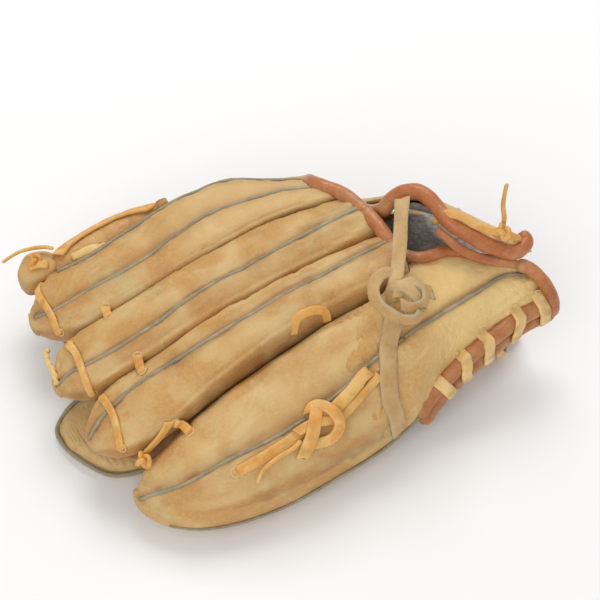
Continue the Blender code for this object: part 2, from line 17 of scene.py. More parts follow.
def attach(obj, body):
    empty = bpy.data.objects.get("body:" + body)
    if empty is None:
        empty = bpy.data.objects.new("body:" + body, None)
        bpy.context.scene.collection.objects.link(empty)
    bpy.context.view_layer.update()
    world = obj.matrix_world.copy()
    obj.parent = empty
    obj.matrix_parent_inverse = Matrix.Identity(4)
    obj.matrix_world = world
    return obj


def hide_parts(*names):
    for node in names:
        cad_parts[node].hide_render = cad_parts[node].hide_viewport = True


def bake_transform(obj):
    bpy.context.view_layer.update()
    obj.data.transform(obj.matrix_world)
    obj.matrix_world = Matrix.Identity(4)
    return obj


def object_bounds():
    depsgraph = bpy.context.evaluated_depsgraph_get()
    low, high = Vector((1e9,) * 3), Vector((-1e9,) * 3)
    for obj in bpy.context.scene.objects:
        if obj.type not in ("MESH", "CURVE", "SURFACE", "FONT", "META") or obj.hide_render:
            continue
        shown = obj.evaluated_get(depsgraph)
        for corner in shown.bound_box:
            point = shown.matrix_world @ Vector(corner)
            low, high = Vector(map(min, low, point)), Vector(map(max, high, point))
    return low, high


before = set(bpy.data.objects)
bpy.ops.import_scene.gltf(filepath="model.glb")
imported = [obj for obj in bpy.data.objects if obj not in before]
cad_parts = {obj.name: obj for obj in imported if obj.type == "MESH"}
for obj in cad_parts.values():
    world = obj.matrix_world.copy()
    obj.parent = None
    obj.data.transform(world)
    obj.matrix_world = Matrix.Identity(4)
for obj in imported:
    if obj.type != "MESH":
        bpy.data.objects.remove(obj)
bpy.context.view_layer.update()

# %% [markdown]
# ## One drawing, in millimetres
#
# A pattern maker works in millimetres from a point near the knuckles, so every shape below is laid out that
# way and turned into metres once, when its mesh is made. The pocket folds about one line from heel to web.

# %% The drawing and its creases
DRAWING_CENTRE = np.array([-10.8, -1.4, 0.0])       # the middle of the glove on the drawing, in millimetres
GAP = 0.4                                           # between neighbouring stalls
FOLD_HEEL = (125.0, 32.0, 20.0)
FOLD_WEB = (-118.0, 103.0, 24.0)
LACE = (5.0, 1.8)                                   # rawhide lace, width and thickness
TIE = (10.0, 2.4)                                   # the wide tie strap
VALLEY = {
    "index_middle": [(-150, 38), (-126, 31), (-20, 31), (13, 26), (40, 20)],
    "middle_ring": [(-150, -12), (-126, -10), (40, -11)],
    "ring_pinky": [(-150, -60), (-110, -54), (-88, -49), (-58, -45), (-20, -42), (40, -43)],
}
INDEX_OUTER = [(-141, 64), (-134, 71), (-122, 77), (-100, 77), (-70, 80), (-40, 82), (-12, 79),
               (10, 71), (34, 62)]


def metres(points):
    """Drawing millimetres to metres in the glove's frame."""
    return (np.asarray(points, float) - DRAWING_CENTRE) * 0.001


def value_at(table, x):
    xs, values = zip(*table)
    return float(np.interp(x, xs, values))


def fold_y(x):
    """Where the line the pocket folds about lies across the glove."""
    share = (FOLD_HEEL[0] - x) / (FOLD_HEEL[0] - FOLD_WEB[0])
    return FOLD_HEEL[1] + (FOLD_WEB[1] - FOLD_HEEL[1]) * share


# %% [markdown]
# ## Smooth lines and grids
#
# Every sewn leather piece is a grid: a few given rows, read through a smooth curve at as many places as
# the mesh needs. A Catmull-Rom curve passes through its own points, so a row stays where it was drawn.

# %% Curves through rows, and grids of faces
def smooth(rows, count):
    """A Catmull-Rom curve through rows of any shape, read at count even places."""
    rows = np.asarray(rows, float)
    spot = np.linspace(0, len(rows) - 1, count)
    i = np.minimum(spot.astype(int), len(rows) - 2)
    t = (spot - i).reshape((-1,) + (1,) * (rows.ndim - 1))
    a, b, c, d = rows[np.maximum(i - 1, 0)], rows[i], rows[i + 1], rows[np.minimum(i + 2, len(rows) - 1)]
    return 0.5 * (2 * b + (c - a) * t + (2 * a - 5 * b + 4 * c - d) * t ** 2
                  + (3 * b - a - 3 * c + d) * t ** 3)


def even(route, step):
    """A smooth route read about every step millimetres along its length."""
    fine = smooth(route, 12 * len(route))
    length = np.concatenate([[0], np.cumsum(np.linalg.norm(np.diff(fine[:, :3], axis=0), axis=1))])
    places = np.linspace(0, length[-1], max(4, int(length[-1] / step) + 1))
    return np.stack([np.interp(places, length, fine[:, k]) for k in range(fine.shape[1])], axis=1)


def by_length(row, count):
    """A smooth row read at count places, evenly along its length."""
    fine = smooth(row, 10 * len(row))
    length = np.concatenate([[0], np.cumsum(np.linalg.norm(np.diff(fine, axis=0), axis=1))])
    places = np.linspace(0, length[-1], count)
    return np.stack([np.interp(places, length, fine[:, k]) for k in range(fine.shape[1])], axis=1)


def unit(vectors):
    return vectors / np.maximum(np.linalg.norm(vectors, axis=-1, keepdims=True), 1e-9)


def grid_faces(high, wide, wrap=False, start=0):
    """Faces of a grid of high rows and wide columns, as point numbers."""
    columns = wide if wrap else wide - 1
    faces = []
    for j in range(high - 1):
        for k in range(columns):
            n = (k + 1) % wide
            faces.append((start + j * wide + k, start + j * wide + n, start + (j + 1) * wide + n,
                          start + (j + 1) * wide + k))
    return faces


def wander(points, size, seed=0.0, octaves=2):
    """Smooth noise from -1 to 1 at each drawing point, with bumps about size millimetres across."""
    flat = np.asarray(points, float).reshape(-1, 3) / size + seed
    found = [noise.fractal(Vector(p), 1.0, 2.0, octaves) for p in flat]
    return np.array(found).reshape(np.asarray(points).shape[:-1])


# %% [markdown]
# ## From points to a piece of the glove
#
# Each piece is placed by one function: it makes the mesh, gives it a finish, says which imported solids it
# stands for and which part of the glove it moves with. Two masks are stored on the points, because they
# follow the making of the piece: one darkens with grime and with painted shade in seams, creases and
# undersides, and "wear" lightens rubbed edges.

# %% Place a piece
PIECES = {}
RINGS = {}


def facing_out(points, faces):
    """The faces of a closed mesh, turned round if they make it inside out."""
    spots = np.asarray(points, float) - np.mean(points, axis=0)
    corners = np.array([(face[0], face[i], face[i + 1]) for face in faces for i in range(1, len(face) - 1)])
    first, second, third = (spots[corners[:, k]] for k in range(3))
    inside_out = (first * np.cross(second, third)).sum() < 0
    return [tuple(reversed(face)) for face in faces] if inside_out else faces


def place(name, points, faces, finishes, body, stands_for=(), slot=None, shades=None, marks=None):
    """A mesh piece from drawing points. shades gives each face's finish, marks the masks on its points."""
    data = bpy.data.meshes.new(name)
    faces = facing_out(points, faces)
    data.from_pydata([tuple(p) for p in metres(points)], [], faces)
    if shades is not None:
        data.polygons.foreach_set("material_index", np.asarray(shades, np.int32))
    data.shade_smooth()
    for mark, values in (marks or {}).items():
        layer = data.attributes.new(mark, "FLOAT", "POINT")
        layer.data.foreach_set("value", np.asarray(values, np.float32).ravel())
    for finish in finishes if isinstance(finishes, (list, tuple)) else [finishes]:
        data.materials.append(finish)
    piece = bpy.data.objects.new("dressed_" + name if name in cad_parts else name, data)
    bpy.context.scene.collection.objects.link(piece)
    if body:
        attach(piece, body)
    if stands_for:
        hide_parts(*stands_for)
    PIECES[name] = piece
    return piece


# %% [markdown]
# ## Shader groups shared by the finishes
#
# Leather, lace and binding all show grain, patchy colour and scuffs. Each effect is a node group built once
# and placed in a material with its own values. A tiny helper keeps the node code short: it makes a node, sets
# its options and fills its sockets from values or from other nodes.

# %% Node helpers
def node(tree, kind, sockets=None, **options):
    made = tree.nodes.new(kind)
    for option, value in options.items():
        setattr(made, option, value)
    for socket, value in (sockets or {}).items():
        if isinstance(value, bpy.types.NodeSocket):
            tree.links.new(value, made.inputs[socket])
        else:
            made.inputs[socket].default_value = value
    return made


def new_group(name, inputs, outputs):
    """A shader group with named sockets: inputs and outputs are (name, kind, default)."""
    tree = bpy.data.node_groups.new(name, "ShaderNodeTree")
    for direction, sockets in (("INPUT", inputs), ("OUTPUT", outputs)):
        for label, kind, default in sockets:
            socket = tree.interface.new_socket(name=label, in_out=direction, socket_type="NodeSocket" + kind)
            if default is not None:
                socket.default_value = default
    return tree, tree.nodes.new("NodeGroupInput").outputs, tree.nodes.new("NodeGroupOutput").inputs


def use(tree, group, sockets):
    made = tree.nodes.new("ShaderNodeGroup")
    made.node_tree = group
    for socket, value in sockets.items():
        if isinstance(value, bpy.types.NodeSocket):
            tree.links.new(value, made.inputs[socket])
        else:
            made.inputs[socket].default_value = value
    return made.outputs


def steps(tree, value, low, high, to_low=0.0, to_high=1.0):
    """Maps value from low..high to to_low..to_high, held at both ends."""
    made = node(tree, "ShaderNodeMapRange", {"Value": value, "From Min": low, "From Max": high,
                                             "To Min": to_low, "To Max": to_high})
    return made.outputs["Result"]


def blend_colours(tree, share, first, second, way="MIX"):
    made = node(tree, "ShaderNodeMix", {0: share, 6: first, 7: second}, data_type="RGBA", blend_type=way)
    return made.outputs[2]


# %% [markdown]
# **Grain.** Leather grain is a net of fine creases round small pebbles. A Voronoi texture gives the pebbles,
# and warping its coordinates with noise keeps them from looking like tiles. Longer, softer creases come from
# a second, stretched noise.

# %% Group: leather grain
def build_grain():
    tree, given, out = new_group("leather grain", [
        ("Vector", "Vector", None), ("Pebble Size", "Float", 900.0), ("Creases", "Float", 0.5)],
        [("Height", "Float", None), ("Pits", "Float", None)])
    warp = node(tree, "ShaderNodeTexNoise", {"Vector": given["Vector"], "Scale": 260.0, "Detail": 2.0})
    pushed = node(tree, "ShaderNodeVectorMath", {0: warp.outputs["Color"], 1: (0.0022, 0.0022, 0.0022)},
                  operation="MULTIPLY")
    spot = node(tree, "ShaderNodeVectorMath", {0: given["Vector"], 1: pushed.outputs[0]}, operation="ADD")
    pebbles = node(tree, "ShaderNodeTexVoronoi", {"Vector": spot.outputs[0], "Scale": given["Pebble Size"]},
                   feature="SMOOTH_F1")
    fine = node(tree, "ShaderNodeTexNoise", {"Vector": spot.outputs[0], "Scale": 2400.0, "Detail": 2.0})
    creased = node(tree, "ShaderNodeTexNoise", {"Vector": spot.outputs[0], "Scale": 170.0, "Detail": 4.0,
                                                "Roughness": 0.62})
    ridge = node(tree, "ShaderNodeMath", {0: creased.outputs["Fac"], 1: 0.5}, operation="SUBTRACT")
    ridge = node(tree, "ShaderNodeMath", {0: ridge.outputs[0]}, operation="ABSOLUTE")
    folds = steps(tree, ridge.outputs[0], 0.0, 0.06)
    folds = node(tree, "ShaderNodeMath", {0: folds, 1: given["Creases"]}, operation="MULTIPLY")
    dome = steps(tree, pebbles.outputs["Distance"], 0.0, 0.7, 0.6, 0.0)
    total = node(tree, "ShaderNodeMath", {0: dome, 1: folds.outputs[0]}, operation="ADD")
    total = node(tree, "ShaderNodeMath", {0: fine.outputs["Fac"], 1: 0.35, 2: total.outputs[0]},
                 operation="MULTIPLY_ADD")
    tree.links.new(total.outputs[0], out["Height"])
    tree.links.new(steps(tree, pebbles.outputs["Distance"], 0.42, 0.75), out["Pits"])
    return tree


GRAIN = build_grain()


# %% [markdown]
# ** Patches.** Worn leather is never one colour: oil darkens it where hands hold it, the dye rubs away on its
# high places and old moisture leaves pale, faintly green clouds. Three noises of different size mix three
# colours. The point masks add rubbed edges, and grime together with painted shade in seams, creases and
# undersides.

# %% Group: worn colour
def build_patches():
    tree, given, out = new_group("worn colour and painted shade", [
        ("Vector", "Vector", None), ("Main", "Color", (0.5, 0.3, 0.13, 1)),
        ("Pale", "Color", (0.6, 0.5, 0.3, 1)),
        ("Dark", "Color", (0.3, 0.17, 0.07, 1)), ("Patch Scale", "Float", 26.0), ("Pale Share", "Float", 0.5),
        ("Grime", "Float", 0.0), ("Wear", "Float", 0.0), ("Pits", "Float", 0.0)],
        [("Colour", "Color", None), ("Rub", "Float", None)])
    clouds = node(tree, "ShaderNodeTexNoise", {"Vector": given["Vector"], "Scale": given["Patch Scale"],
                                               "Detail": 5.0, "Roughness": 0.58, "Distortion": 0.6})
    lifted = node(tree, "ShaderNodeMath", {0: clouds.outputs["Fac"], 1: given["Pale Share"]}, operation="ADD")
    rubbed = steps(tree, lifted.outputs[0], 0.9, 1.16)
    colour = blend_colours(tree, rubbed, given["Main"], given["Pale"])
    away = node(tree, "ShaderNodeVectorMath", {0: given["Vector"], 1: (0.31, 0.17, 0.23)}, operation="ADD")
    stains = node(tree, "ShaderNodeTexNoise", {"Vector": away.outputs[0], "Scale": 46.0, "Detail": 6.0,
                                               "Roughness": 0.66})
    stained = steps(tree, stains.outputs["Fac"], 0.56, 0.74, 0.0, 0.62)
    colour = blend_colours(tree, stained, colour, given["Dark"])
    mould = node(tree, "ShaderNodeTexNoise", {"Vector": away.outputs[0], "Scale": 21.0, "Detail": 5.0,
                                              "Roughness": 0.7, "Distortion": 1.0})
    moulded = steps(tree, mould.outputs["Fac"], 0.53, 0.66, 0.0, 0.55)
    greenish = blend_colours(tree, 1.0, given["Pale"], (0.84, 1.06, 1.12, 1.0), "MULTIPLY")
    colour = blend_colours(tree, moulded, colour, greenish)
    specks = node(tree, "ShaderNodeTexNoise", {"Vector": given["Vector"], "Scale": 620.0, "Detail": 3.0,
                                               "Roughness": 0.7})
    speckled = steps(tree, specks.outputs["Fac"], 0.4, 0.64, 0.0, 0.2)
    colour = blend_colours(tree, speckled, colour, given["Pale"])
    stretched = node(tree, "ShaderNodeVectorMath", {0: given["Vector"], 1: (1.0, 6.0, 6.0)},
                     operation="MULTIPLY")
    scratches = node(tree, "ShaderNodeTexNoise", {"Vector": stretched.outputs[0], "Scale": 90.0,
                                                  "Detail": 4.0})
    scratched = steps(tree, scratches.outputs["Fac"], 0.62, 0.7, 0.0, 0.3)
    colour = blend_colours(tree, scratched, colour, given["Pale"])
    pitted = node(tree, "ShaderNodeMath", {0: given["Pits"], 1: 0.16}, operation="MULTIPLY")
    colour = blend_colours(tree, pitted.outputs[0], colour, given["Dark"])
    colour = blend_colours(tree, given["Wear"], colour, given["Pale"])
    # Dark brown laid on by the darkening mask: grime, and painted shade in seams, creases and undersides.
    deep = blend_colours(tree, 1.0, given["Dark"], (0.62, 0.50, 0.42, 1.0), "MULTIPLY")
    colour = blend_colours(tree, given["Grime"], colour, deep)
    tree.links.new(colour, out["Colour"])
    total = node(tree, "ShaderNodeMath", {0: rubbed, 1: given["Wear"]}, operation="MAXIMUM")
    tree.links.new(total.outputs[0], out["Rub"])
    return tree


PATCHES = build_patches()


# %% [markdown]
# ## The finishes
#
# One recipe makes every leather finish, with its own colours, grain and gloss: worn tan leather, the paler
# heel panel, palm leather, grey welting, red-brown binding and rawhide lace. Fleece is a separate recipe,
# because it is a nap of short wool and not a skin.

# %% Leather recipe
def leather(name, main, pale, dark, rough, pebble=1100.0, depth=0.00016, creases=0.5, patch=26.0, share=0.42,
            coat=0.0):
    made = bpy.data.materials.new(name)
    made.use_nodes = True
    tree = made.node_tree
    shader = tree.nodes["Principled BSDF"]
    spot = node(tree, "ShaderNodeTexCoord").outputs["Object"]
    # Darkening mask from the points: grime, and painted shade in seams, creases and undersides.
    grime = node(tree, "ShaderNodeAttribute", attribute_name="grime").outputs["Fac"]
    wear = node(tree, "ShaderNodeAttribute", attribute_name="wear").outputs["Fac"]
    grain = use(tree, GRAIN, {"Vector": spot, "Pebble Size": pebble, "Creases": creases})
    worn = use(tree, PATCHES, {"Vector": spot, "Main": (*main, 1.0), "Pale": (*pale, 1.0),
                               "Dark": (*dark, 1.0), "Patch Scale": patch, "Pale Share": share,
                               "Grime": grime, "Wear": wear, "Pits": grain["Pits"]})
    bump = node(tree, "ShaderNodeBump", {"Height": grain["Height"], "Distance": depth, "Strength": 0.9})
    roughness = steps(tree, worn["Rub"], 0.0, 1.0, rough, min(rough + 0.14, 0.95))
    tree.links.new(worn["Colour"], shader.inputs["Base Color"])
    tree.links.new(roughness, shader.inputs["Roughness"])
    tree.links.new(bump.outputs["Normal"], shader.inputs["Normal"])
    shader.inputs["Specular IOR Level"].default_value = 0.38
    shader.inputs["Coat Weight"].default_value = coat
    shader.inputs["Coat Roughness"].default_value = 0.28
    return made


TAN = leather("worn tan leather", (0.56, 0.295, 0.09), (0.70, 0.50, 0.225), (0.36, 0.155, 0.042), 0.44)
HEEL_TAN = leather("heel back leather", (0.56, 0.295, 0.09), (0.86, 0.62, 0.265), (0.36, 0.155, 0.042), 0.46,
                   share=0.24)
PALE_TAN = leather("pale back leather", (0.68, 0.45, 0.19), (0.86, 0.68, 0.38), (0.36, 0.20, 0.08), 0.55,
                   pebble=700.0, patch=18.0)
PALM = leather("palm leather", (0.40, 0.20, 0.075), (0.52, 0.35, 0.16), (0.20, 0.09, 0.035), 0.46, patch=34.0)
WELT = leather("grey welting", (0.27, 0.235, 0.155), (0.44, 0.37, 0.24), (0.13, 0.11, 0.07), 0.55, patch=90.0,
               pebble=1500.0, depth=0.00012)
BINDING = leather("red-brown binding", (0.46, 0.135, 0.036), (0.60, 0.29, 0.12), (0.22, 0.062, 0.022), 0.33,
                  patch=60.0, share=0.36, coat=0.22, creases=0.9)
ROLL = leather("heel roll leather", (0.44, 0.155, 0.045), (0.56, 0.29, 0.12), (0.21, 0.07, 0.024), 0.36,
               patch=60.0, share=0.38, coat=0.16, creases=0.8)
RAWHIDE = leather("orange rawhide lace", (0.72, 0.33, 0.062), (0.84, 0.55, 0.20), (0.38, 0.15, 0.035), 0.42,
                  patch=90.0, share=0.42, pebble=1700.0, depth=0.00010, creases=0.3)
CREAM = leather("cream heel lace", (0.76, 0.49, 0.18), (0.88, 0.66, 0.32), (0.44, 0.26, 0.10), 0.46,
                patch=80.0, pebble=1700.0, depth=0.00010, creases=0.3)
TIE_TAN = leather("tie strap leather", (0.53, 0.32, 0.125), (0.66, 0.46, 0.22), (0.32, 0.18, 0.075), 0.52,
                  patch=48.0, pebble=1300.0, depth=0.00014)
RAW_EDGE = leather("cut edge of a lace", (0.40, 0.34, 0.22), (0.52, 0.47, 0.34), (0.20, 0.16, 0.10), 0.8,
                   patch=120.0, pebble=2200.0, depth=0.0001)
# Dark finish inside the finger holes and punched holes: painted shade.
HOLE_SHADE = leather("painted shade inside holes", (0.20, 0.12, 0.06), (0.26, 0.18, 0.10), (0.08, 0.045, 0.02), 0.8)


# %% Fleece recipe
def fleece(name, main, tip):
    made = bpy.data.materials.new(name)
    made.use_nodes = True
    tree = made.node_tree
    shader = tree.nodes["Principled BSDF"]
    spot = node(tree, "ShaderNodeTexCoord").outputs["Object"]
    tufts = node(tree, "ShaderNodeTexVoronoi", {"Vector": spot, "Scale": 420.0}, feature="SMOOTH_F1")
    fibres = node(tree, "ShaderNodeTexNoise", {"Vector": spot, "Scale": 1500.0, "Detail": 4.0,
                                               "Roughness": 0.7})
    soil = node(tree, "ShaderNodeTexNoise", {"Vector": spot, "Scale": 60.0, "Detail": 4.0})
    share = steps(tree, tufts.outputs["Distance"], 0.1, 0.75, 1.0, 0.0)
    colour = blend_colours(tree, share, (*main, 1.0), (*tip, 1.0))
    shade = steps(tree, soil.outputs["Fac"], 0.42, 0.66, 0.0, 0.7)
    colour = blend_colours(tree, shade, colour, (0.06, 0.045, 0.03, 1.0))
    height = node(tree, "ShaderNodeMath", {0: fibres.outputs["Fac"], 1: 0.7, 2: share},
                  operation="MULTIPLY_ADD")
    bump = node(tree, "ShaderNodeBump", {"Height": height.outputs[0], "Distance": 0.0012, "Strength": 1.0})
    tree.links.new(colour, shader.inputs["Base Color"])
    tree.links.new(bump.outputs["Normal"], shader.inputs["Normal"])
    shader.inputs["Roughness"].default_value = 0.95
    shader.inputs["Sheen Weight"].default_value = 0.5
    shader.inputs["Sheen Roughness"].default_value = 0.5
    return made


WOOL = fleece("grey fleece", (0.30, 0.275, 0.24), (0.66, 0.64, 0.60))
print("finishes:", len(bpy.data.materials))

# %% [markdown]
# ## Camera
#
# A product camera looks down at half a right angle and a little more, across the fingertips, with a long
# lens so that the glove keeps its proportions.

# %% Camera
CAMERA_AZIMUTH = math.radians(-27)
CAMERA_ELEVATION = math.radians(50)
CAMERA_DISTANCE = 0.815
LOOK_AT = Vector((0.0108, 0.0014, 0.04))


def aim(thing, azimuth, elevation, distance, target):
    """Stands thing at distance from target and points its -Z at it, with its X level."""
    back = Vector((math.sin(azimuth) * math.cos(elevation), -math.cos(azimuth) * math.cos(elevation),
                   math.sin(elevation)))
    right = Vector((math.cos(azimuth), math.sin(azimuth), 0.0))
    turned = Matrix((right, back.cross(right), back)).transposed().to_4x4()
    thing.matrix_world = Matrix.Translation(target + back * distance) @ turned


camera = bpy.data.objects.new("camera", bpy.data.cameras.new("camera"))
bpy.context.scene.collection.objects.link(camera)
camera.data.lens = 85
camera.data.sensor_width = 36
aim(camera, CAMERA_AZIMUTH, CAMERA_ELEVATION, CAMERA_DISTANCE, LOOK_AT)
bpy.context.scene.camera = camera


# %% [markdown]
# ## Round cords and rolls
#
# Welts, rolled bindings and lace ends are all tubes along a route. A curve with a bevel would do for a wire,
# but leather wrinkles, so the tube is a mesh: its section can be flattened, twisted and made uneven.

# %% Tube along a route
def frames_along(middles):
    """Directions ahead, and two directions across, carried along a route without twisting."""
    ahead = unit(np.gradient(middles, axis=0))
    side = np.cross(ahead[0], (0.0, 0.0, 1.0))
    if np.linalg.norm(side) < 0.2:
        side = np.cross(ahead[0], (0.0, 1.0, 0.0))
    sides = [unit(side)]
    for step in ahead[1:]:
        sides.append(unit(sides[-1] - step * np.dot(sides[-1], step)))
    sides = np.array(sides)
    return ahead, sides, np.cross(sides, ahead)


def tube_points(route, radius, around=14, step=1.0, squash=1.0, twist=0.0, uneven=0.05, round_ends=True,
                seed=0.0):
    """Rings round a smooth route: radius in millimetres, squash flattens one way, uneven is a share."""
    middles = even(route, step)[:, :3]
    _, side, up = frames_along(middles)
    turns = np.linspace(0, 2 * math.pi, around, endpoint=False)
    along = np.linspace(0, 1, len(middles))
    size = np.ones(len(middles))
    if round_ends:
        reach = max(2, int(round(radius / step)))
        nose = np.sqrt(1 - (1 - np.minimum(np.arange(len(middles)) / reach, 1)) ** 2)
        size = np.maximum(np.minimum(nose, nose[::-1]), 0.05)
    angle = turns[None, :] + twist * along[:, None] * 2 * math.pi
    across = np.cos(turns)[None, :, None] * radius * size[:, None, None]
    rise = np.sin(turns)[None, :, None] * radius * squash * size[:, None, None]
    turn_cos, turn_sin = np.cos(angle - turns)[..., None], np.sin(angle - turns)[..., None]
    local_side = side[:, None] * turn_cos + up[:, None] * turn_sin
    local_up = up[:, None] * turn_cos - side[:, None] * turn_sin
    offset = local_side * across + local_up * rise
    points = middles[:, None] + offset
    bumps = wander(points, 3.2 * radius, seed) * 0.7 + wander(points, 0.9 * radius, seed + 7) * 0.3
    return points + offset * (uneven * bumps)[..., None]


def closed_tube(points):
    """Points and faces of rings closed by a fan at each end."""
    high, around = points.shape[:2]
    flat = np.concatenate([points.reshape(-1, 3), points[0].mean(0)[None], points[-1].mean(0)[None]])
    faces = grid_faces(high, around, wrap=True)
    faces = [tuple(reversed(face)) for face in faces]
    for k in range(around):
        n = (k + 1) % around
        faces.append((high * around, k, n))
        faces.append((high * around + 1, (high - 1) * around + n, (high - 1) * around + k))
    return flat, faces


def tube(name, route, radius, finish, body, stands_for=(), slot=None, wear=0.25, **shape):
    points = tube_points(route, radius, **shape)
    flat, faces = closed_tube(points)
    rub = np.clip(wander(flat, 9.0, radius) * 1.4, 0, 1) * wear
    return place(name, flat, faces, finish, body, stands_for, slot, marks={"wear": rub})


# %% [markdown]
# ## The free lace ends
#
# Three knots leave a stiff lace end lying free: one at the strap, one at the top of the web and one on the
# little finger. They are cords, so they are made first, at the lengths their working solids have.

# %% Free lace ends
def cord_end(name, route, radius, body):
    """A narrow, stiff, twisted lace end along a route of drawing points."""
    piece = tube(name, route, radius, RAWHIDE, body, (name,), "rawhide_lace", squash=0.82, twist=0.4,
                 step=0.6)
    return piece


cord_end("strap_lace_tail", [(102.2, -44.7, 94.6), (102.2, -44.5, 102), (101.2, -43.3, 110),
                             (101.7, -42.3, 118), (102.2, -42.3, 125.8)], 1.4, "wrist_strap")
cord_end("web_lace_tail", [(-114.8, 89.2, 53.8), (-121.0, 92.8, 54.6), (-133.3, 95.2, 54.5),
                           (-145.2, 93.6, 52.5)], 1.2, "finger_side")
cord_end("pinky_lace_tail", [(-46.5, -92.6, 49.2), (-52.1, -94.0, 47.2), (-61.6, -94.6, 45.4),
                             (-70.2, -95.8, 41.6), (-75.5, -98.6, 36.4)], 1.3, "finger_side")

# %% [markdown]
# ## Finger stalls
#
# A stall is two leathers sewn over padding, with a welt along the back and deep creases against its
# neighbours. It is lofted as rings across the finger. To let the leather swell as sewn leather does, a cloth
# simulation pins the seams of a coarse copy and blows it up a little; its movement is then read back onto
# the fine mesh, so the detail stays sharp.

# %% Rings of a stall
ROUND = 96                                          # points round a stall
SIM_ROUND = 32                                      # points round its coarse copy


def section(row, inset=0.0):
    """A soft oblong ring across the glove, from (x, low y, high y, low z, high z, lean)."""
    x, low_y, high_y, low_z, high_z, lean = row
    low_y, high_y, low_z, high_z = low_y + inset, high_y - inset, low_z + inset, high_z - inset
    turn = 2 * math.pi * (np.arange(ROUND) + 0.5) / ROUND
    power = 2.0 / 3.0
    u = np.sign(np.cos(turn)) * np.abs(np.cos(turn)) ** power
    v = np.sign(np.sin(turn)) * np.abs(np.sin(turn)) ** power + lean * u
    y = 0.5 * (low_y + high_y) + 0.5 * (high_y - low_y) * u / np.abs(u).max()
    z = 0.5 * (low_z + high_z) + 0.5 * (high_z - low_z) * v / np.abs(v).max()
    return np.stack([np.full(ROUND, x), y, np.maximum(z, 0.0)], axis=1)


def stall_rings(stations, tip, rows):
    """Rings from a rounded tip to the base of the stall."""
    body = np.array([section(row) for row in smooth(stations, rows)])
    tip = np.asarray(tip, float)
    centre = body[0].mean(0)
    nose = []
    for share in np.linspace(0.04, 0.94, 9):
        size = math.sin(share * math.pi / 2)
        reach = 1 - math.cos(share * math.pi / 2)
        middle = tip + (centre - tip) * reach
        nose.append(middle + (body[0] - centre) * size)
    return np.concatenate([np.array(nose), body])


def surface_normals(rings):
    """Outward directions of a grid of rings."""
    along = np.gradient(rings, axis=0)
    around = np.roll(rings, -1, axis=1) - np.roll(rings, 1, axis=1)
    return unit(np.cross(around, along))


def distance_to(places, points):
    """Flat distance in X and Y from each point to a smooth line through places."""
    line = smooth(np.array(places, float), 60)
    start, step = line[:-1], np.diff(line, axis=0)
    to = points[..., None, :2] - start
    share = np.clip((to * step).sum(-1) / (step * step).sum(-1), 0, 1)
    return np.linalg.norm(to - share[..., None] * step, axis=-1).min(-1)


# %% [markdown]
# The welts follow listed lines over the back of each stall. The same lines steer three things: where
# the leather is pinned in the simulation, the groove it is pulled into, and the welt laid in that groove.

# %% Lines of the welts
WELT_LINES = {
    "index_edge_welt": [(-119, 74), (-106, 73), (-93, 73), (-79, 76), (-58, 77), (-38, 78), (-22, 77),
                        (-6, 70), (12, 59), (26, 50)],
    "index_welt": [(-140, 58), (-134, 53), (-126, 49), (-102, 48), (-77, 48), (-50, 51), (-34, 52),
                   (-13, 49), (9, 42), (27, 34)],
    "middle_welt": [(-146, 9), (-136, 5), (-127, 2), (-97, 1), (-60, 3), (-23, 3), (2, 4), (40, 5)],
    "ring_welt": [(-143, -30), (-134, -27), (-125, -26), (-108, -24), (-72, -25), (-37, -25),
                  (-12, -25), (12, -24), (43, -22)],
    "pinky_welt": [(-132, -69.5), (-111, -79), (-88, -81), (-66, -83), (-42, -82), (-16, -78), (6, -73),
                   (27, -70)],
}


# %% Blow a stall up between its seams
CLOTH_FRAMES = 20                                   # steps until the leather has settled


def puffed(rings, pinned, push=3.0, most=1.6):
    """How far a cloth of the rings' shape swells when its pinned points are held, as a grid of moves."""
    step_row, step_round = 3, ROUND // SIM_ROUND
    coarse = rings[::step_row, ::step_round]
    hold = pinned[::step_row, ::step_round]
    high, wide = coarse.shape[:2]
    data = bpy.data.meshes.new("trial leather")
    data.from_pydata([tuple(p) for p in metres(coarse).reshape(-1, 3) * 10], [],
                     [tuple(reversed(face)) for face in grid_faces(high, wide, wrap=True)])
    trial = bpy.data.objects.new("trial leather", data)
    bpy.context.scene.collection.objects.link(trial)
    held = trial.vertex_groups.new(name="seams")
    for index, weight in enumerate(hold.ravel()):
        held.add([index], float(weight), "REPLACE")
    cloth = trial.modifiers.new("leather", "CLOTH")
    cloth.settings.quality = 5
    cloth.settings.mass = 0.3
    cloth.settings.tension_stiffness = 40
    cloth.settings.compression_stiffness = 25
    cloth.settings.bending_stiffness = 2
    cloth.settings.use_pressure = True
    cloth.settings.uniform_pressure_force = push
    cloth.settings.vertex_group_mass = "seams"
    cloth.settings.effector_weights.gravity = 0.0
    cloth.point_cache.frame_start, cloth.point_cache.frame_end = 1, CLOTH_FRAMES
    scene = bpy.context.scene
    for tick in range(1, CLOTH_FRAMES + 1):
        scene.frame_set(tick)
    shape = trial.evaluated_get(bpy.context.evaluated_depsgraph_get()).to_mesh()
    moved = np.empty(len(shape.vertices) * 3)
    shape.vertices.foreach_get("co", moved)
    move = (moved.reshape(high, wide, 3) - metres(coarse) * 10) * 100
    bpy.data.objects.remove(trial, do_unlink=True)
    scene.frame_set(1)
    length = np.linalg.norm(move, axis=-1, keepdims=True)
    move = move * np.minimum(1.0, most / np.maximum(length, 1e-6))
    print("   leather swelled by up to", round(float(np.linalg.norm(move, axis=-1).max()), 2), "mm")
    rows = np.interp(np.arange(len(rings)) / step_row, np.arange(high), np.arange(high))
    low = np.minimum(rows.astype(int), high - 2)
    part = (rows - low)[:, None, None]
    by_row = move[low] * (1 - part) + move[low + 1] * part
    by_row = np.concatenate([by_row, by_row[:, :1]], axis=1)
    columns = np.arange(rings.shape[1]) / step_round
    left = columns.astype(int)
    share = (columns - left)[None, :, None]
    return by_row[:, left] * (1 - share) + by_row[:, left + 1] * share


# %% Make the stalls
TUCK_FROM, TUCK_RUN = 14, 12                        # where a stall narrows to go in under its heel panel


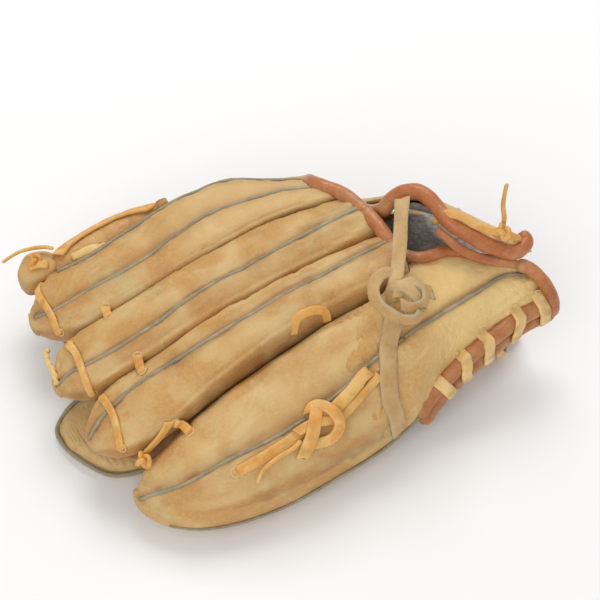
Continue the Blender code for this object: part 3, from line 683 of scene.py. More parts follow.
def stall(name, stations, tip, hole_from, lines, body, seed, rows=118, folds=(), pale_from=200.0, tuck=0.0):
    """A padded stall: puffed leather, grooves under its welts, wrinkles, and a finger hole painted dark as
    shade.
    """
    rings = stall_rings(stations, tip, rows)
    normals = surface_normals(rings)
    top = np.clip(normals[..., 2] * 2.2, 0, 1)
    seam = np.full(rings.shape[:2], 99.0)
    for line in lines:
        seam = np.minimum(seam, distance_to(WELT_LINES[line], rings) + 30 * (1 - top))
    side = np.clip(1 - np.abs(normals[..., 2]) * 1.4, 0, 1)
    pinned = np.maximum(np.exp(-(seam / 2.5) ** 2), np.clip(side + (normals[..., 2] < -0.2), 0, 1))
    pinned[-4:] = 1.0
    pinned[:1] = 1.0
    rings = rings + puffed(rings, pinned)
    dent = wander(rings, 34.0, seed) * 0.9 + wander(rings, 13.0, seed + 3) * 0.45
    dent = dent + wander(rings, 4.5, seed + 5) * 0.16
    stretched = rings * np.array([1.6, 0.32, 0.6])
    wrinkle = np.abs(wander(stretched, 5.5, seed + 9))
    wrinkled = np.clip(wander(rings, 28.0, seed + 11) * 2 + 0.4, 0, 1)
    dent = dent - 0.5 * np.exp(-(wrinkle / 0.12) ** 2) * wrinkled
    for place_x, reach, depth in folds:
        bend = rings[..., 0] + 2.0 * wander(rings, 20.0, seed + place_x) - place_x
        dent = dent - depth * np.exp(-(bend / reach) ** 2) * top
    groove = 1.3 * np.exp(-(seam / 1.6) ** 2) - 0.7 * np.exp(-((seam - 5.0) / 3.0) ** 2)
    rings = rings + normals * (dent * (0.35 + 0.65 * top) - groove)[..., None]
    rings[..., 2] = np.maximum(rings[..., 2], 0.0)
    RINGS[name] = (rings, normals)
    rings = rings - normals * (tuck * np.clip((rings[..., 0] - TUCK_FROM) / TUCK_RUN, 0, 1))[..., None]
    hollow = [row for row in smooth(stations, rows) if row[0] > hole_from]
    lip = rings[-1] + (rings[-1] - rings[-1].mean(0)) * -0.06 + np.array([1.2, 0, 0])
    inner = np.array([section(row, inset=6.5) for row in reversed(hollow[::4])])
    grid = np.concatenate([rings, lip[None], inner])
    flat, faces = closed_tube(grid)
    shades = [0 if i < (len(rings) - 1) * ROUND else 1 for i in range(len(faces))]
    outside = len(rings) * ROUND
    grime = np.zeros(len(flat))
    # Painted shade: darker in the welt grooves and down the flanks of each stall where it meets its
    # neighbours.
    crease_shade = np.exp(-((seam - 1.0) / 1.2) ** 2) * 0.7 + 0.22 * np.exp(-((seam - 4) / 3.0) ** 2)
    crease_shade = np.maximum(crease_shade, np.clip(side * 1.0 - 0.42, 0, 0.6) * (rings[..., 2] > 24))
    crease_shade = crease_shade * np.clip(0.75 + 0.5 * wander(rings, 9.0, seed + 2), 0, 1)
    grime[:outside] = np.clip(crease_shade, 0, 0.92).ravel()
    # Inside the finger hole: painted shade.
    grime[outside:] = 0.8
    wear = np.zeros(len(flat))
    ridge = np.clip(top - 0.6, 0, 1) * np.clip(wander(rings, 22.0, seed + 15) * 1.6 + 0.1, 0, 1)
    faded = np.clip((rings[..., 0] - pale_from) / 40.0, 0, 0.6)
    wear[:outside] = np.clip(np.maximum(ridge * 1.6, faded), 0, 0.7).ravel()
    return place(name, flat, faces, [TAN, HOLE_SHADE], body, (name,), "stall_leather", shades,
                 {"grime": grime, "wear": wear})


def between(low, high, rows):
    """Stations that fill the room between two creases."""
    return [(x, value_at(VALLEY[low], x) + GAP + low_pull, value_at(VALLEY[high], x) - GAP - high_pull,
             low_z, high_z, lean) for x, low_z, high_z, lean, low_pull, high_pull in rows]


INDEX_STATIONS = [(x, value_at(VALLEY["index_middle"], x) + GAP + pull, value_at(INDEX_OUTER, x),
                   low_z, high_z, lean) for x, low_z, high_z, lean, pull in (
    (-141, 29, 39, 0.0, 14), (-134, 28, 47, 0.0, 7), (-122, 29, 55, 0.0, 1), (-100, 34, 61, -0.1, 0),
    (-70, 42, 70, -0.15, 0), (-40, 48, 79, -0.2, 0), (-12, 54, 86, -0.4, 0), (10, 56, 90, -0.7, 0),
    (34, 57, 91.5, -1.0, 0))]
MIDDLE_STATIONS = between("middle_ring", "index_middle", [
    (-145, 29, 39, 0.0, 14, 18), (-138, 28, 48, 0.0, 6, 8), (-126, 29, 55, 0.0, 0, 1),
    (-100, 34, 64, 0.0, 0, 0), (-60, 44, 78, 0.0, 0, 0), (-20, 53, 87, 0.0, 0, 0),
    (8, 57, 92, 0.0, 0, 0), (42, 59, 94, 0.0, 0, 0)])
RING_STATIONS = between("ring_pinky", "middle_ring", [
    (-141, 27, 35, 0.0, 19, 11), (-134, 27, 43, 0.0, 10, 4), (-122, 29, 51, 0.0, 3, 0),
    (-100, 34, 60, 0.1, 0, 0), (-72, 41, 71, 0.1, 0, 0), (-37, 48, 82, 0.0, 0, 0),
    (-5, 55, 89, 0.0, 0, 0), (45, 58, 92, 0.0, 0, 0)])
PINKY_STATIONS = [(x, low_y, value_at(VALLEY["ring_pinky"], x) - GAP - pull, low_z, high_z, lean)
                  for x, low_y, low_z, high_z, lean, pull in (
    (-130, -76, 9, 23, 0.2, 6), (-122, -86, 5, 31, 0.3, 2), (-108, -95, 4, 40, 0.4, 0),
    (-88, -101, 4, 49, 0.5, 0), (-60, -103, 4, 59, 0.6, 0), (-30, -101, 6, 67, 0.7, 0),
    (2, -97, 8, 75, 0.7, 0), (29, -91, 15, 81, 0.7, 0))]
THUMB_STATIONS = [(-149, -15, 6, -2, 9, 0.0), (-144, -25, 11, -2, 11, 0.0), (-136, -36, 14, -2, 12, 0.0),
                  (-122, -43, 16, -2, 13, 0.0), (-100, -45, 18, -3, 16, 0.0), (-60, -42, 24, -3, 24, 0.0),
                  (-20, -38, 32, -3, 30, 0.0), (12, -36, 38, -3, 34, 0.0)]

stall("index_stall", INDEX_STATIONS, (-144, 57, 33), -62, ["index_edge_welt", "index_welt"], "finger_side",
      11.0, folds=[(-70, 5, 0.9), (-30, 4, 0.6)], pale_from=-60.0)
stall("middle_stall", MIDDLE_STATIONS, (-148, 10, 33), -62, ["middle_welt"], "finger_side", 23.0,
      folds=[(-84, 5, 0.8), (-34, 4, 0.6), (2, 3, 0.5)])
stall("ring_stall", RING_STATIONS, (-144, -30, 27), -60, ["ring_welt"], "finger_side", 37.0,
      folds=[(-88, 5, 0.8), (-40, 4, 0.7), (0, 3, 0.5)])
stall("pinky_stall", PINKY_STATIONS, (-133, -67, 16), -62, ["pinky_welt"], "finger_side", 51.0,
      folds=[(-96, 5, 0.7), (-52, 5, 0.6)], pale_from=-8.0, tuck=3.0)
stall("thumb_stall", THUMB_STATIONS, (-152, -4, 3), -85, [], "thumb_side", 67.0, pale_from=-200.0)


# %% [markdown]
# ## Laying things on the leather
#
# Welts and laces rest on the stalls as they came out of the simulation, so their height is measured: a ray
# goes straight down at each place and meets the leather.

# %% The glove's upper surface
class Skin:
    """The pieces named, as one surface that a ray from above can meet."""

    def __init__(self, names):
        points, faces = [], []
        for name in names:
            data = PIECES[name].data
            start = len(points)
            points += [v.co.copy() for v in data.vertices]
            faces += [[start + i for i in face.vertices] for face in data.polygons]
        self.tree = BVHTree.FromPolygons(points, faces)

    def under(self, x, y, lift=0.0):
        """(x, y, z, facing) lift millimetres off the surface at the drawing place (x, y)."""
        above = Vector(metres((x, y, 200.0)))
        hit, facing, _, _ = self.tree.ray_cast(above, Vector((0, 0, -1)))
        spot = np.array(hit) * 1000 + DRAWING_CENTRE + np.array(facing) * lift
        return np.concatenate([spot, np.array(facing)])

    def along(self, places, lift, over=()):
        """A route over places; over lists the ones that ride over a welt."""
        lifts = [lift + (2.4 if i in over else 0) for i in range(len(places))]
        return np.array([self.under(x, y, high) for (x, y), high in zip(places, lifts)])

    def on(self, places, lift, step=2.0, soften=4):
        """A route laid on the leather nearest to drawing points; a fourth number raises its place more."""
        rows = []
        for x, y, z, more in even([(*place, 0.0)[:4] for place in places], step):
            hit, facing, _, _ = self.tree.find_nearest(Vector(metres((x, y, z))))
            facing = np.array(facing)
            spot = np.array(hit) * 1000 + DRAWING_CENTRE + facing * (lift + more)
            rows.append(np.concatenate([spot, facing]))
        rows = np.array(rows)
        for _ in range(soften):
            rows[1:-1] = 0.25 * rows[:-2] + 0.5 * rows[1:-1] + 0.25 * rows[2:]
        return rows

    def track(self, places, lift, count=60):
        """A closely followed route over a smooth line through places."""
        line = smooth(np.array(places, float), count)
        return np.array([self.under(x, y, lift) for x, y in line])


# %% [markdown]
# ## Flat leather panels
#
# The heel panel, strap, palm and web are sheets about 3 mm thick. A Solidify modifier would leave square
# edges, so each sheet is built as a closed shell whose rim is rounded over, with soft dents and wrinkles
# pushed into its face.

# %% Leather sheet
def sheet_grid(rows, high, wide):
    across = np.array([by_length(row, wide) for row in rows])
    return smooth(across, high)


def sheet(name, rows, thick, finish, body, stands_for, slot=None, high=90, wide=70, seed=0.0, dents=0.5,
          wrinkles=0.25, under=None, sink=0.0, floor=None, edge_wear=0.5, relief=None, faded=None, dirt_and_shade=None):
    """A leather panel with rounded edges: rows run along +X and their points along +Y, upper side drawn."""
    grid = sheet_grid(rows, high, wide)
    normals = unit(np.cross(np.gradient(grid, axis=0), np.gradient(grid, axis=1)))
    if normals[..., 2].mean() < 0:
        normals = -normals
    grid = grid - normals * sink
    push = wander(grid, 26.0, seed) * dents + wander(grid, 8.0, seed + 2) * dents * 0.35
    crease = np.abs(wander(grid * np.array([1.4, 0.5, 0.7]), 6.0, seed + 4))
    push = push - wrinkles * np.exp(-(crease / 0.12) ** 2)
    if relief is not None:
        push = push + relief(grid)
    row_edge = np.minimum(np.arange(high), np.arange(high)[::-1])[:, None]
    column_edge = np.minimum(np.arange(wide), np.arange(wide)[::-1])[None, :]
    near = np.minimum(row_edge, column_edge)
    top = grid + normals * push[..., None]
    low = grid - normals * thick
    rounding = {0: 0.42, 1: 0.12}
    for ring, share in rounding.items():
        mask = near == ring
        top[mask] -= normals[mask] * thick * share
        low[mask] += normals[mask] * thick * share
    if floor is not None:
        top[..., 2] = np.maximum(top[..., 2], floor + 0.4)
        low[..., 2] = np.maximum(low[..., 2], floor)
    count = high * wide
    flat = np.concatenate([top.reshape(-1, 3), low.reshape(-1, 3)])
    faces = [tuple(reversed(face)) for face in grid_faces(high, wide)]
    faces += grid_faces(high, wide, start=count)
    rim = [(0, k) for k in range(wide - 1)] + [(j, wide - 1) for j in range(high - 1)]
    rim += [(high - 1, k) for k in range(wide - 1, 0, -1)] + [(j, 0) for j in range(high - 1, 0, -1)]
    numbers = [j * wide + k for j, k in rim]
    for a, b in zip(numbers, numbers[1:] + numbers[:1]):
        faces.append((a, b, b + count, a + count))
    shades = [1 if under and i >= (high - 1) * (wide - 1) else 0 for i in range(len(faces))]
    rub = np.clip(1.2 - near / 2.5, 0, 1) * edge_wear
    rub = rub * np.clip(0.6 + wander(grid, 7.0, seed + 8), 0, 1)
    if faded is not None:
        rub = np.maximum(rub, faded(grid))
    # Darker a few rows in from the rim; the underside is darkened all over as painted shade.
    grime = np.exp(-((near - 4) / 2.0) ** 2) * 0.25 * np.ones_like(rub)
    if dirt_and_shade is not None:
        grime = np.maximum(grime, dirt_and_shade(grid))
    marks = {"wear": np.concatenate([rub.ravel(), rub.ravel()]),
             "grime": np.concatenate([grime.ravel(), np.full(count, 0.25)])}
    finishes = [finish, under] if under else [finish]
    return place(name, flat, faces, finishes, body, stands_for, slot, shades, marks)


# %% [markdown]
# ## Heel panel
#
# The back leather of the little-finger stall runs on over the heel to the wrist in one hide. The panel starts
# as arcs of the finished stall, a hair off it, and then follows the heel, so no step shows where they meet.

# %% Heel panel
HEEL_WELT = [(-12, -77), (6, -73), (27, -70), (51, -67), (80, -61.5), (98, -58), (112, -60)]
ARC = slice(54, 7, -1)                              # from the stall's lower flank to its inner crease


def stall_arc(x, lift):
    """Part of the little-finger stall's ring nearest to x, lift millimetres off it."""
    rings, normals = RINGS["pinky_stall"]
    row = int(np.abs(rings[:, :, 0].mean(1) - x).argmin())
    return (rings[row] + normals[row] * lift)[ARC]


HEEL_PANEL = [stall_arc(x, lift) for x, lift in ((-10, -0.8), (4, 0.0), (17, 0.3), (26, 0.6))] + [
    [(43, -83.5, 29), (45, -81.5, 43), (46, -77, 58), (46.5, -69, 71), (47, -57, 79),
     (48, -44, 83), (50, -35, 84)],
    [(55, -79.5, 38), (56, -77.5, 50), (56.5, -73, 62), (57, -65.5, 73.5), (58, -54, 80), (59, -42.5, 82),
     (61, -35, 82)],
    [(77, -75.5, 48), (78, -73.5, 57), (79, -69, 65.5), (81, -61, 72), (82, -54, 76), (83, -46, 78.5),
     (84, -39, 78.5)],
    [(100, -72, 52), (101, -70, 59), (102, -66, 64.5), (104, -60, 68), (104, -57, 70), (104, -54, 72),
     (104, -49, 73)],
    [(116, -70, 51.5), (117, -68.5, 57.5), (117, -65.5, 62), (115, -62, 65.5), (114, -60, 67.5),
     (112, -58, 69)],
    [(123, -69.5, 50), (123.5, -68, 55), (123, -66, 59), (121, -63.5, 62.5), (119, -61.5, 65),
     (116.5, -59.5, 67)]]


def heel_relief(grid):
    """A groove under the welt, and soft pleats that run in from the wrist edge."""
    seam = distance_to(HEEL_WELT, grid)
    high_side = np.clip((grid[..., 2] - 48) / 10, 0, 1)
    groove = 0.7 * np.exp(-((seam - 5.0) / 3.0) ** 2) - 1.1 * np.exp(-(seam / 1.7) ** 2)
    reach = np.clip((grid[..., 0] - 70) / 50, 0, 1)
    pleats = np.sin(grid[..., 2] * 1.1 + wander(grid, 22.0, 4.0) * 3) * 0.5 * reach
    return groove * high_side + pleats


def heel_fade(grid):
    """The heel has dried and paled towards the wrist."""
    return np.clip((grid[..., 0] - 2) / 70, 0, 1) * np.clip(0.82 + 0.5 * wander(grid, 24.0, 6.0), 0.3, 1.0)


# Painted shade along the groove of the heel welt.
def heel_welt_shade(grid):
    return np.exp(-(distance_to(HEEL_WELT, grid) / 2.0) ** 2) * 0.55


sheet("pinky_heel_panel", HEEL_PANEL, 3.0, HEEL_TAN, "finger_side", ("pinky_heel_panel",), "heel_leather",
      high=150, wide=96, seed=29.0, dents=0.7, wrinkles=0.4, relief=heel_relief, faded=heel_fade,
      dirt_and_shade=heel_welt_shade, edge_wear=0.3)

# %% [markdown]
# ## Welts
#
# Each seam of the back carries a thin piped welt, half sunk in the groove between the two swollen leathers.

# %% Welts
WELT_SIZE = 1.15
STALLS = ["index_stall", "middle_stall", "ring_stall", "pinky_stall"]
skin = Skin(STALLS + ["pinky_heel_panel"])


def welt(name, places, count=90):
    """A welt laid in the groove of the leather below its line."""
    route = skin.track(places, 0.0, count)[:, :3]
    for _ in range(4):
        route[1:-1] = 0.25 * route[:-2] + 0.5 * route[1:-1] + 0.25 * route[2:]
    tube(name, route, WELT_SIZE, WELT, "finger_side", (name,), "welting", around=12, step=0.7, uneven=0.09,
         wear=0.5, seed=len(name))


for name, places in WELT_LINES.items():
    welt(name, places)
welt("heel_panel_welt", HEEL_WELT[2:])
edge = [(x, low_y - 0.1, low_z + 6) for x, low_y, _, low_z, _, _ in PINKY_STATIONS[1:]]
tube("pinky_edge_welt", edge, WELT_SIZE - 0.3, WELT, "finger_side", ("pinky_edge_welt",), "welting",
     around=12, wear=0.5)
rim = [(-118, 18.3, 6), (-136, 15.8, 6), (-146.2, 10, 5), (-152.6, 2, 4.5), (-152.0, -10.6, 4.5),
       (-145.8, -26, 5), (-136, -38.8, 5), (-122, -44.2, 6), (-100, -46.2, 7), (-60, -43.2, 10),
       (-20, -39.2, 13), (10, -37.2, 15)]
tube("thumb_rim_welt", rim, WELT_SIZE + 0.2, WELT, "thumb_side", ("thumb_rim_welt",), "welting", around=12,
     wear=0.5)


# %% Palm leather of both sides
def palm_rows():
    tops = [(-130, 27), (-118, 28), (-95, 33.5), (-66, 41), (-36, 47.5), (-5, 53.5), (38, 56), (75, 52),
            (102, 45), (119, 40)]
    rows = []
    for x, top in tops:
        near = value_at(VALLEY["ring_pinky"], x) + (12 if x < -120 else 1.5)
        far = min(value_at(INDEX_OUTER, x) - (4 if x < -120 else 1), fold_y(x) - 5)
        edge_z = top if x < -20 else max(28, top - 0.45 * (x + 20))
        rows.append([(x, near, top), (x, -18, top), (x, 12, top), (x, 0.5 * (12 + far), top - 1),
                     (x, far, edge_z)])
    return rows


def thumb_palm_rows():
    rows = []
    for x, top in [(-128, 16), (-100, 19.5), (-60, 27.5), (-20, 33.5), (12, 37), (60, 32), (119, 24)]:
        near = -33 if x < -120 else -38
        far = value_at([(-128, 10), (-60, 22), (-20, 58), (12, 58), (60, 44), (119, 28)], x)
        rows.append([(x, near, top), (x, -8, top), (x, 0.4 * far + 4, top - 0.5), (x, far, min(top, 22))])
    return rows


sheet("palm_leather_finger_side", palm_rows(), 2.4, PALM, "finger_side", ("palm_leather_finger_side",),
      "palm_leather", high=120, wide=60, seed=3.0, dents=0.3)
sheet("palm_leather_thumb_side", thumb_palm_rows(), 2.4, PALM, "thumb_side", ("palm_leather_thumb_side",),
      "palm_leather", high=110, wide=50, seed=5.0, dents=0.3)
lining_rows = [[(x, -40, top), (x, -22, top), (x, 0, top), (x, 18, top)]
               for x, top in ((45, 60.5), (75, 57), (102, 50), (117, 46))]
sheet("hand_lining", lining_rows, 3.0, WOOL, "finger_side", ("hand_lining",), "fleece", high=60, wide=50,
      seed=8.0, dents=0.6, wrinkles=0.0)


# %% Web panels
def web_rows():
    return [[(x, inner, z - 2), (x, inner + 7, z + 1), (x, outer - 3, z), (x, outer + 1, z - 11),
             (x, fold_y(x) + 1, 28)]
            for x, inner, outer, z in ((-118, 79, 92, 48), (-101, 79, 95, 51), (-84, 80, 97, 53),
                                       (-68, 82, 97, 54.5), (-42, 84.5, 94, 56))]


sheet("web_finger_panel", web_rows(), 2.6, TAN, "finger_side", ("web_finger_panel",), "palm_leather",
      high=90, wide=70, seed=13.0, dents=0.7, wrinkles=0.4)
CORNER = [(-137.3, 91, 46), (-130.5, 97.5, 48), (-122.3, 96.2, 50), (-115.4, 92.1, 49), (-115.5, 83.4, 48),
          (-119.9, 78.2, 46), (-129, 77, 44), (-136.9, 78.9, 41), (-139.5, 86, 43)]


def corner_cap(name, outline, crown, skirt, seed):
    """A padded leather corner: a low dome inside the outline, with a skirt hanging from it."""
    ring = by_length(outline + outline[:2], 80)[:72]
    middle = ring.mean(0) + np.array([0, 0, crown])
    rings = []
    for share, drop in ((0.08, 0), (0.3, 0), (0.55, 0.1), (0.76, 0.5), (0.9, 1.3), (0.97, 2.4), (1.0, 4.2),
                        (1.0, 8.0), (0.97, skirt), (0.8, skirt + 1.0)):
        row = middle + (ring - middle) * share
        row[:, 2] = middle[2] + (ring[:, 2] - middle[2]) * share ** 2 * 0.5 - drop
        rings.append(row)
    rings = np.array(rings)
    rings = rings + np.array([0, 0, 1.0]) * (wander(rings, 9.0, seed) * 0.5)[..., None]
    flat, faces = closed_tube(rings)
    # The darkening mask grows down the skirt under the dome: painted shade.
    return place(name, flat, faces, TAN, "finger_side", (name,), "palm_leather",
                 marks={"grime": np.repeat([0, 0, 0, 0, 0.1, 0.2, 0.3, 0.4, 0.5, 0.5],
                                           72).tolist() + [0, 0.5],
                        "wear": np.repeat([0.1, 0.1, 0.2, 0.35, 0.5, 0.3, 0.1, 0, 0, 0],
                                          72).tolist() + [0, 0]})


corner_cap("web_top_piece", CORNER, 5.0, 12.0, 17.0)
thumb_web_rows = [[(x, inner, 9), (x, inner + 0.4 * (fold_y(x) - inner), 5), (x, fold_y(x) - 12, 6),
                   (x, fold_y(x) - 3, 19)]
                  for x, inner in ((-117, 22), (-90, 24), (-60, 28), (-30, 36))]
sheet("web_thumb_panel", thumb_web_rows, 3.4, PALM, "thumb_side", ("web_thumb_panel",), "palm_leather",
      high=80, wide=50, seed=19.0)

# %% [markdown]
# The palm is one hide that bends along the fold. A strip of it bridges the two sides there; it is fixed in
# place and moves with neither side.

# %% Strip of palm leather at the fold
def fold_rows():
    rows = []
    for x in (-116, -80, -40, 0, 40, 80, 119):
        y = fold_y(x)
        rows.append([(x, y - 9, 12), (x, y - 1, 15), (x, y + 2, 22), (x, y - 1, 30), (x, y - 9, 33)])
    return rows


strip = sheet("pocket_fold_strip", fold_rows(), 2.0, PALM, None, (), "palm_leather", high=90, wide=30,
              seed=21.0, dents=0.3)
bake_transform(strip)

# %% [markdown]
# ## Heel rolls
#
# Along the heel two padded rolls run side by side below the panel, bound together by thick cream lacing that
# comes out of a hole above each wrap. Inside, two stuffed pads fill the heel.

# %% Rolls and pads
HEEL_ROLL = [(27, -90.5, 20), (35.6, -85.6, 26), (52.6, -81.6, 36), (73.8, -78.0, 44), (99.9, -73.4, 48.5),
             (122.3, -72.2, 48.5)]
ROLL_DROP = np.array([4.0, 0.6, -9.8])              # from the back roll of the heel to the palm roll
palm_roll = [tuple(np.array(row) + ROLL_DROP) for row in HEEL_ROLL]
tube("heel_back_roll", HEEL_ROLL, 5.3, ROLL, "finger_side", ("heel_back_roll",), "binding", around=28,
     uneven=0.10, wear=0.6, seed=3.0)
tube("heel_palm_roll", palm_roll, 5.2, ROLL, "finger_side", ("heel_palm_roll",), "binding", around=28,
     uneven=0.10, wear=0.6, seed=5.0)
THUMB_ROLL = [(16, -51, 7), (36, -59, 7), (66, -62, 7), (98, -60, 7), (120, -52, 7)]
tube("thumb_heel_roll", THUMB_ROLL, 3.7, ROLL, "thumb_side", ("thumb_heel_roll",), "binding", around=20,
     uneven=0.09, wear=0.6, seed=9.0)


def thumb_heel_rows():
    return [[(x, near, 3), (x, near + 30, 3), (x, fold_y(x) - 24, 3), (x, fold_y(x) - 6, 6),
             (x, fold_y(x) - 1, 15)]
            for x, near in ((13, -44), (36, -52), (70, -54), (100, -52), (120, -46))]


sheet("thumb_heel_panel", thumb_heel_rows(), 3.0, TAN, "thumb_side", ("thumb_heel_panel",), "heel_leather",
      high=80, wide=60, seed=31.0, floor=0.0)


def heel_pad(name, stations, body, seed):
    """A stuffed heel pad in palm leather, swollen by the same simulation as the stalls."""
    rows = smooth([(*row, 0.0) for row in stations], 60)
    rings = np.array([section(row, inset=0.8) for row in rows])
    for k in range(4):
        shrink = 0.45 + 0.16 * k
        rings[k] = rings[k].mean(0) + (rings[k] - rings[k].mean(0)) * shrink
        rings[-1 - k] = rings[-1 - k].mean(0) + (rings[-1 - k] - rings[-1 - k].mean(0)) * shrink
    held = np.zeros(rings.shape[:2])
    held[:2] = held[-2:] = 1.0
    rings = rings + puffed(rings, held, push=2.0, most=0.7)
    rings = rings + surface_normals(rings) * (wander(rings, 14.0, seed) * 0.35)[..., None]
    rings[..., 2] = np.maximum(rings[..., 2], 3.4)
    flat, faces = closed_tube(rings)
    piece = place(name, flat, faces, PALM, body, (name,), "palm_leather",
                  marks={"grime": np.full(len(flat), 0.3)})


heel_pad("pinky_heel_pad", [(40, -73.5, -64, 15, 26), (52, -70, -54, 15, 36), (85, -64.5, -50, 15, 40),
                            (117, -60, -46, 15, 34)], "finger_side", 41.0)
heel_pad("thumb_heel_pad", [(20, -33, 6, 4, 28), (50, -45, -8, 4, 26), (85, -44, -10, 4, 24),
                            (116, -38, -8, 4, 20)], "thumb_side", 43.0)


# %% [markdown]
# ## Flat laces
#
# A rawhide lace is a strip with rounded edges. Each point of its route also says which way its flat side
# faces, so it can lie on a stall, wrap a roll or stand on edge. Its width wanders a little and its cut ends
# are slanted, as hand-cut lace is.

# %% Lace along a route
LACE_AROUND = 16                                    # faces round a strip
NARROW_SIDES = (0, 1, 7, 8, 9, 15)                  # those that make up its two cut sides


def on_edge(faces):
    """1 for each face on a narrow side of a strip, and 0 for the others."""
    return [int((i + 1) % LACE_AROUND in NARROW_SIDES) for i in range(len(faces))]


def lace(name, route, finish, body, stands_for=(), slot="rawhide_lace", size=LACE, step=0.8, seed=0.0,
         taper=0.0, grimy=0.2, build=True, cut_edge=None):
    """A flat strip: each row of the route is a point and the way its flat side faces there."""
    rows = even(route, step)
    middles = rows[:, :3]
    ahead = unit(np.gradient(middles, axis=0))
    across = unit(np.cross(ahead, rows[:, 3:6]))
    face = unit(np.cross(across, ahead))
    turn = 2 * math.pi * (np.arange(LACE_AROUND) + 0.5) / LACE_AROUND
    u = np.sign(np.cos(turn)) * np.abs(np.cos(turn)) ** 0.45
    v = np.sign(np.sin(turn)) * np.abs(np.sin(turn)) ** 0.75
    along = np.arange(len(rows)) * step
    spot = np.stack([along, np.full(len(rows), seed), np.zeros(len(rows))], axis=1)
    width = size[0] * 0.5 * (1 + 0.10 * wander(spot, 9.0, seed + 1))
    width = width * (1 - taper * np.linspace(0, 1, len(rows)))
    thick = size[1] * 0.5 * (1 + 0.12 * wander(spot, 5.0, seed + 2))
    cup = -0.10 * size[1] * (u ** 2)[None, :]
    points = (middles[:, None] + across[:, None] * (width[:, None] * u)[..., None]
              + face[:, None] * (thick[:, None] * v + cup)[..., None])
    slant = 0.25 * size[0] * u[None, :, None] * ahead[[0, -1]][:, None]
    points[0] += slant[0]
    points[-1] += slant[1]
    points = points + face[:, None] * (0.10 * wander(points, 2.4, seed + 3))[..., None]
    flat, faces = closed_tube(points)
    edge_rub = np.tile(np.clip(np.abs(u) * 2.2 - 1.3, 0, 1) * 0.55, len(rows))
    patch = np.clip(wander(points, 8.0, seed + 4) * 1.5, 0, 1).ravel() * 0.5
    dirt_and_shade = np.clip(wander(points, 6.0, seed + 6), 0, 1).ravel() * grimy
    marks = {"wear": np.concatenate([np.maximum(edge_rub * 0.8, patch), [0.3, 0.3]]),
             "grime": np.concatenate([dirt_and_shade, [0.4, 0.4]])}
    if not build:
        return flat, faces, marks
    if cut_edge is None:
        return place(name, flat, faces, finish, body, stands_for, slot, marks=marks)
    return place(name, flat, faces, [finish, cut_edge], body, stands_for, slot, on_edge(faces), marks)


# %% Heel lacing
def joined(name, parts, finishes, body, shades=None, marks=None, stands_for=(), slot=None):
    """Several closed shapes as one piece: parts are (points, faces)."""
    points, faces = [], []
    for part_points, part_faces in parts:
        start = sum(len(p) for p in points)
        points.append(np.asarray(part_points))
        faces += [tuple(start + i for i in face) for face in part_faces]
    return place(name, np.concatenate(points), faces, finishes, body, stands_for, slot, shades, marks)


def wrap_round(middles, half_high, half_wide, turns, power):
    """A lace wound round a pair of rolls; it starts on top, and each turn leans a little."""
    per_turn = 28
    route = []
    for i in range(turns * per_turn + 1):
        x, y, z = middles[round(i / (turns * per_turn) * (len(middles) - 1))]
        turn = 2 * math.pi * i / per_turn
        out, rise = math.sin(turn), math.cos(turn)
        size = (abs(out) ** power + abs(rise) ** power) ** (-1 / power)
        route.append((x, y - half_wide * size * out, z + half_high * size * rise, 0, -out, rise))
    return route


HEEL_WRAPS = [((41, -77.0, 37), (51.5, -91.8, 25)), ((59.6, -75.8, 46), (60.6, -91.7, 31)),
              ((75, -74.4, 51.5), (76.8, -89.8, 35.5)), ((98.2, -71.6, 56.5), (97.4, -87.6, 39.5)),
              ((114, -70.5, 58), (116.1, -86.4, 40.5))]
OUTWARD = np.array([0.1, -0.98, 0.15])              # away from the heel, over both rolls


def heel_wraps():
    """Wraps from a hole in the panel over both rolls and in below them, and the holes' places."""
    rolls = Skin(["heel_back_roll", "heel_palm_roll"])
    panel = Skin(["pinky_heel_panel"])
    parts, spots = [], []
    for order, (top, bottom) in enumerate(HEEL_WRAPS):
        top, bottom = np.array(top, float), np.array(bottom, float)
        over = [top + (bottom - top) * share + OUTWARD * 5 for share in (0.12, 0.4, 0.7, 0.96)]
        hugging = rolls.on(over, 1.1, soften=6)
        entry = panel.on([top, top + (0.1, 0, 0.3), top + (0.2, 0, 0.6)], 0.0, soften=0)[0]
        spots.append(entry)
        into = entry.copy()
        into[:3] -= entry[3:6] * 2.5
        out = entry.copy()
        out[:3] += entry[3:6] * 0.8 + np.array([0, -0.6, -1.6])
        last = hugging[-1].copy()
        last[:3] += np.array([1.5, 5.0, -3.5])
        last[3:6] = (0.1, -0.5, -0.85)
        route = np.concatenate([into[None], out[None], hugging, last[None]])
        parts.append(lace("wrap", route, CREAM, "finger_side", size=(7.0, 2.1), seed=2.0 + order, grimy=0.5,
                          build=False))
    marks = {mark: np.concatenate([part[2][mark] for part in parts]) for mark in ("wear", "grime")}
    joined("heel_lace", [part[:2] for part in parts], CREAM, "finger_side", marks=marks,
           stands_for=("heel_lace",), slot="heel_lace")
    return spots


heel_spots = heel_wraps()
thumb_line = smooth(THUMB_ROLL, 49)[4:-4]
lace("thumb_heel_lace", wrap_round(thumb_line, 6.0, 6.2, 4, 2.0), CREAM, "thumb_side", ("thumb_heel_lace",),
     "heel_lace", size=(5.0, 1.8), seed=4.0)

# %% [markdown]
# ## Window bindings and wrist strap
#
# The open back of the glove is edged by rolled bindings of red-brown leather. The strap is a tab of the same
# tan leather, edged by one long roll and lined with fleece; it is hinged on the web side and laced near the
# little finger.

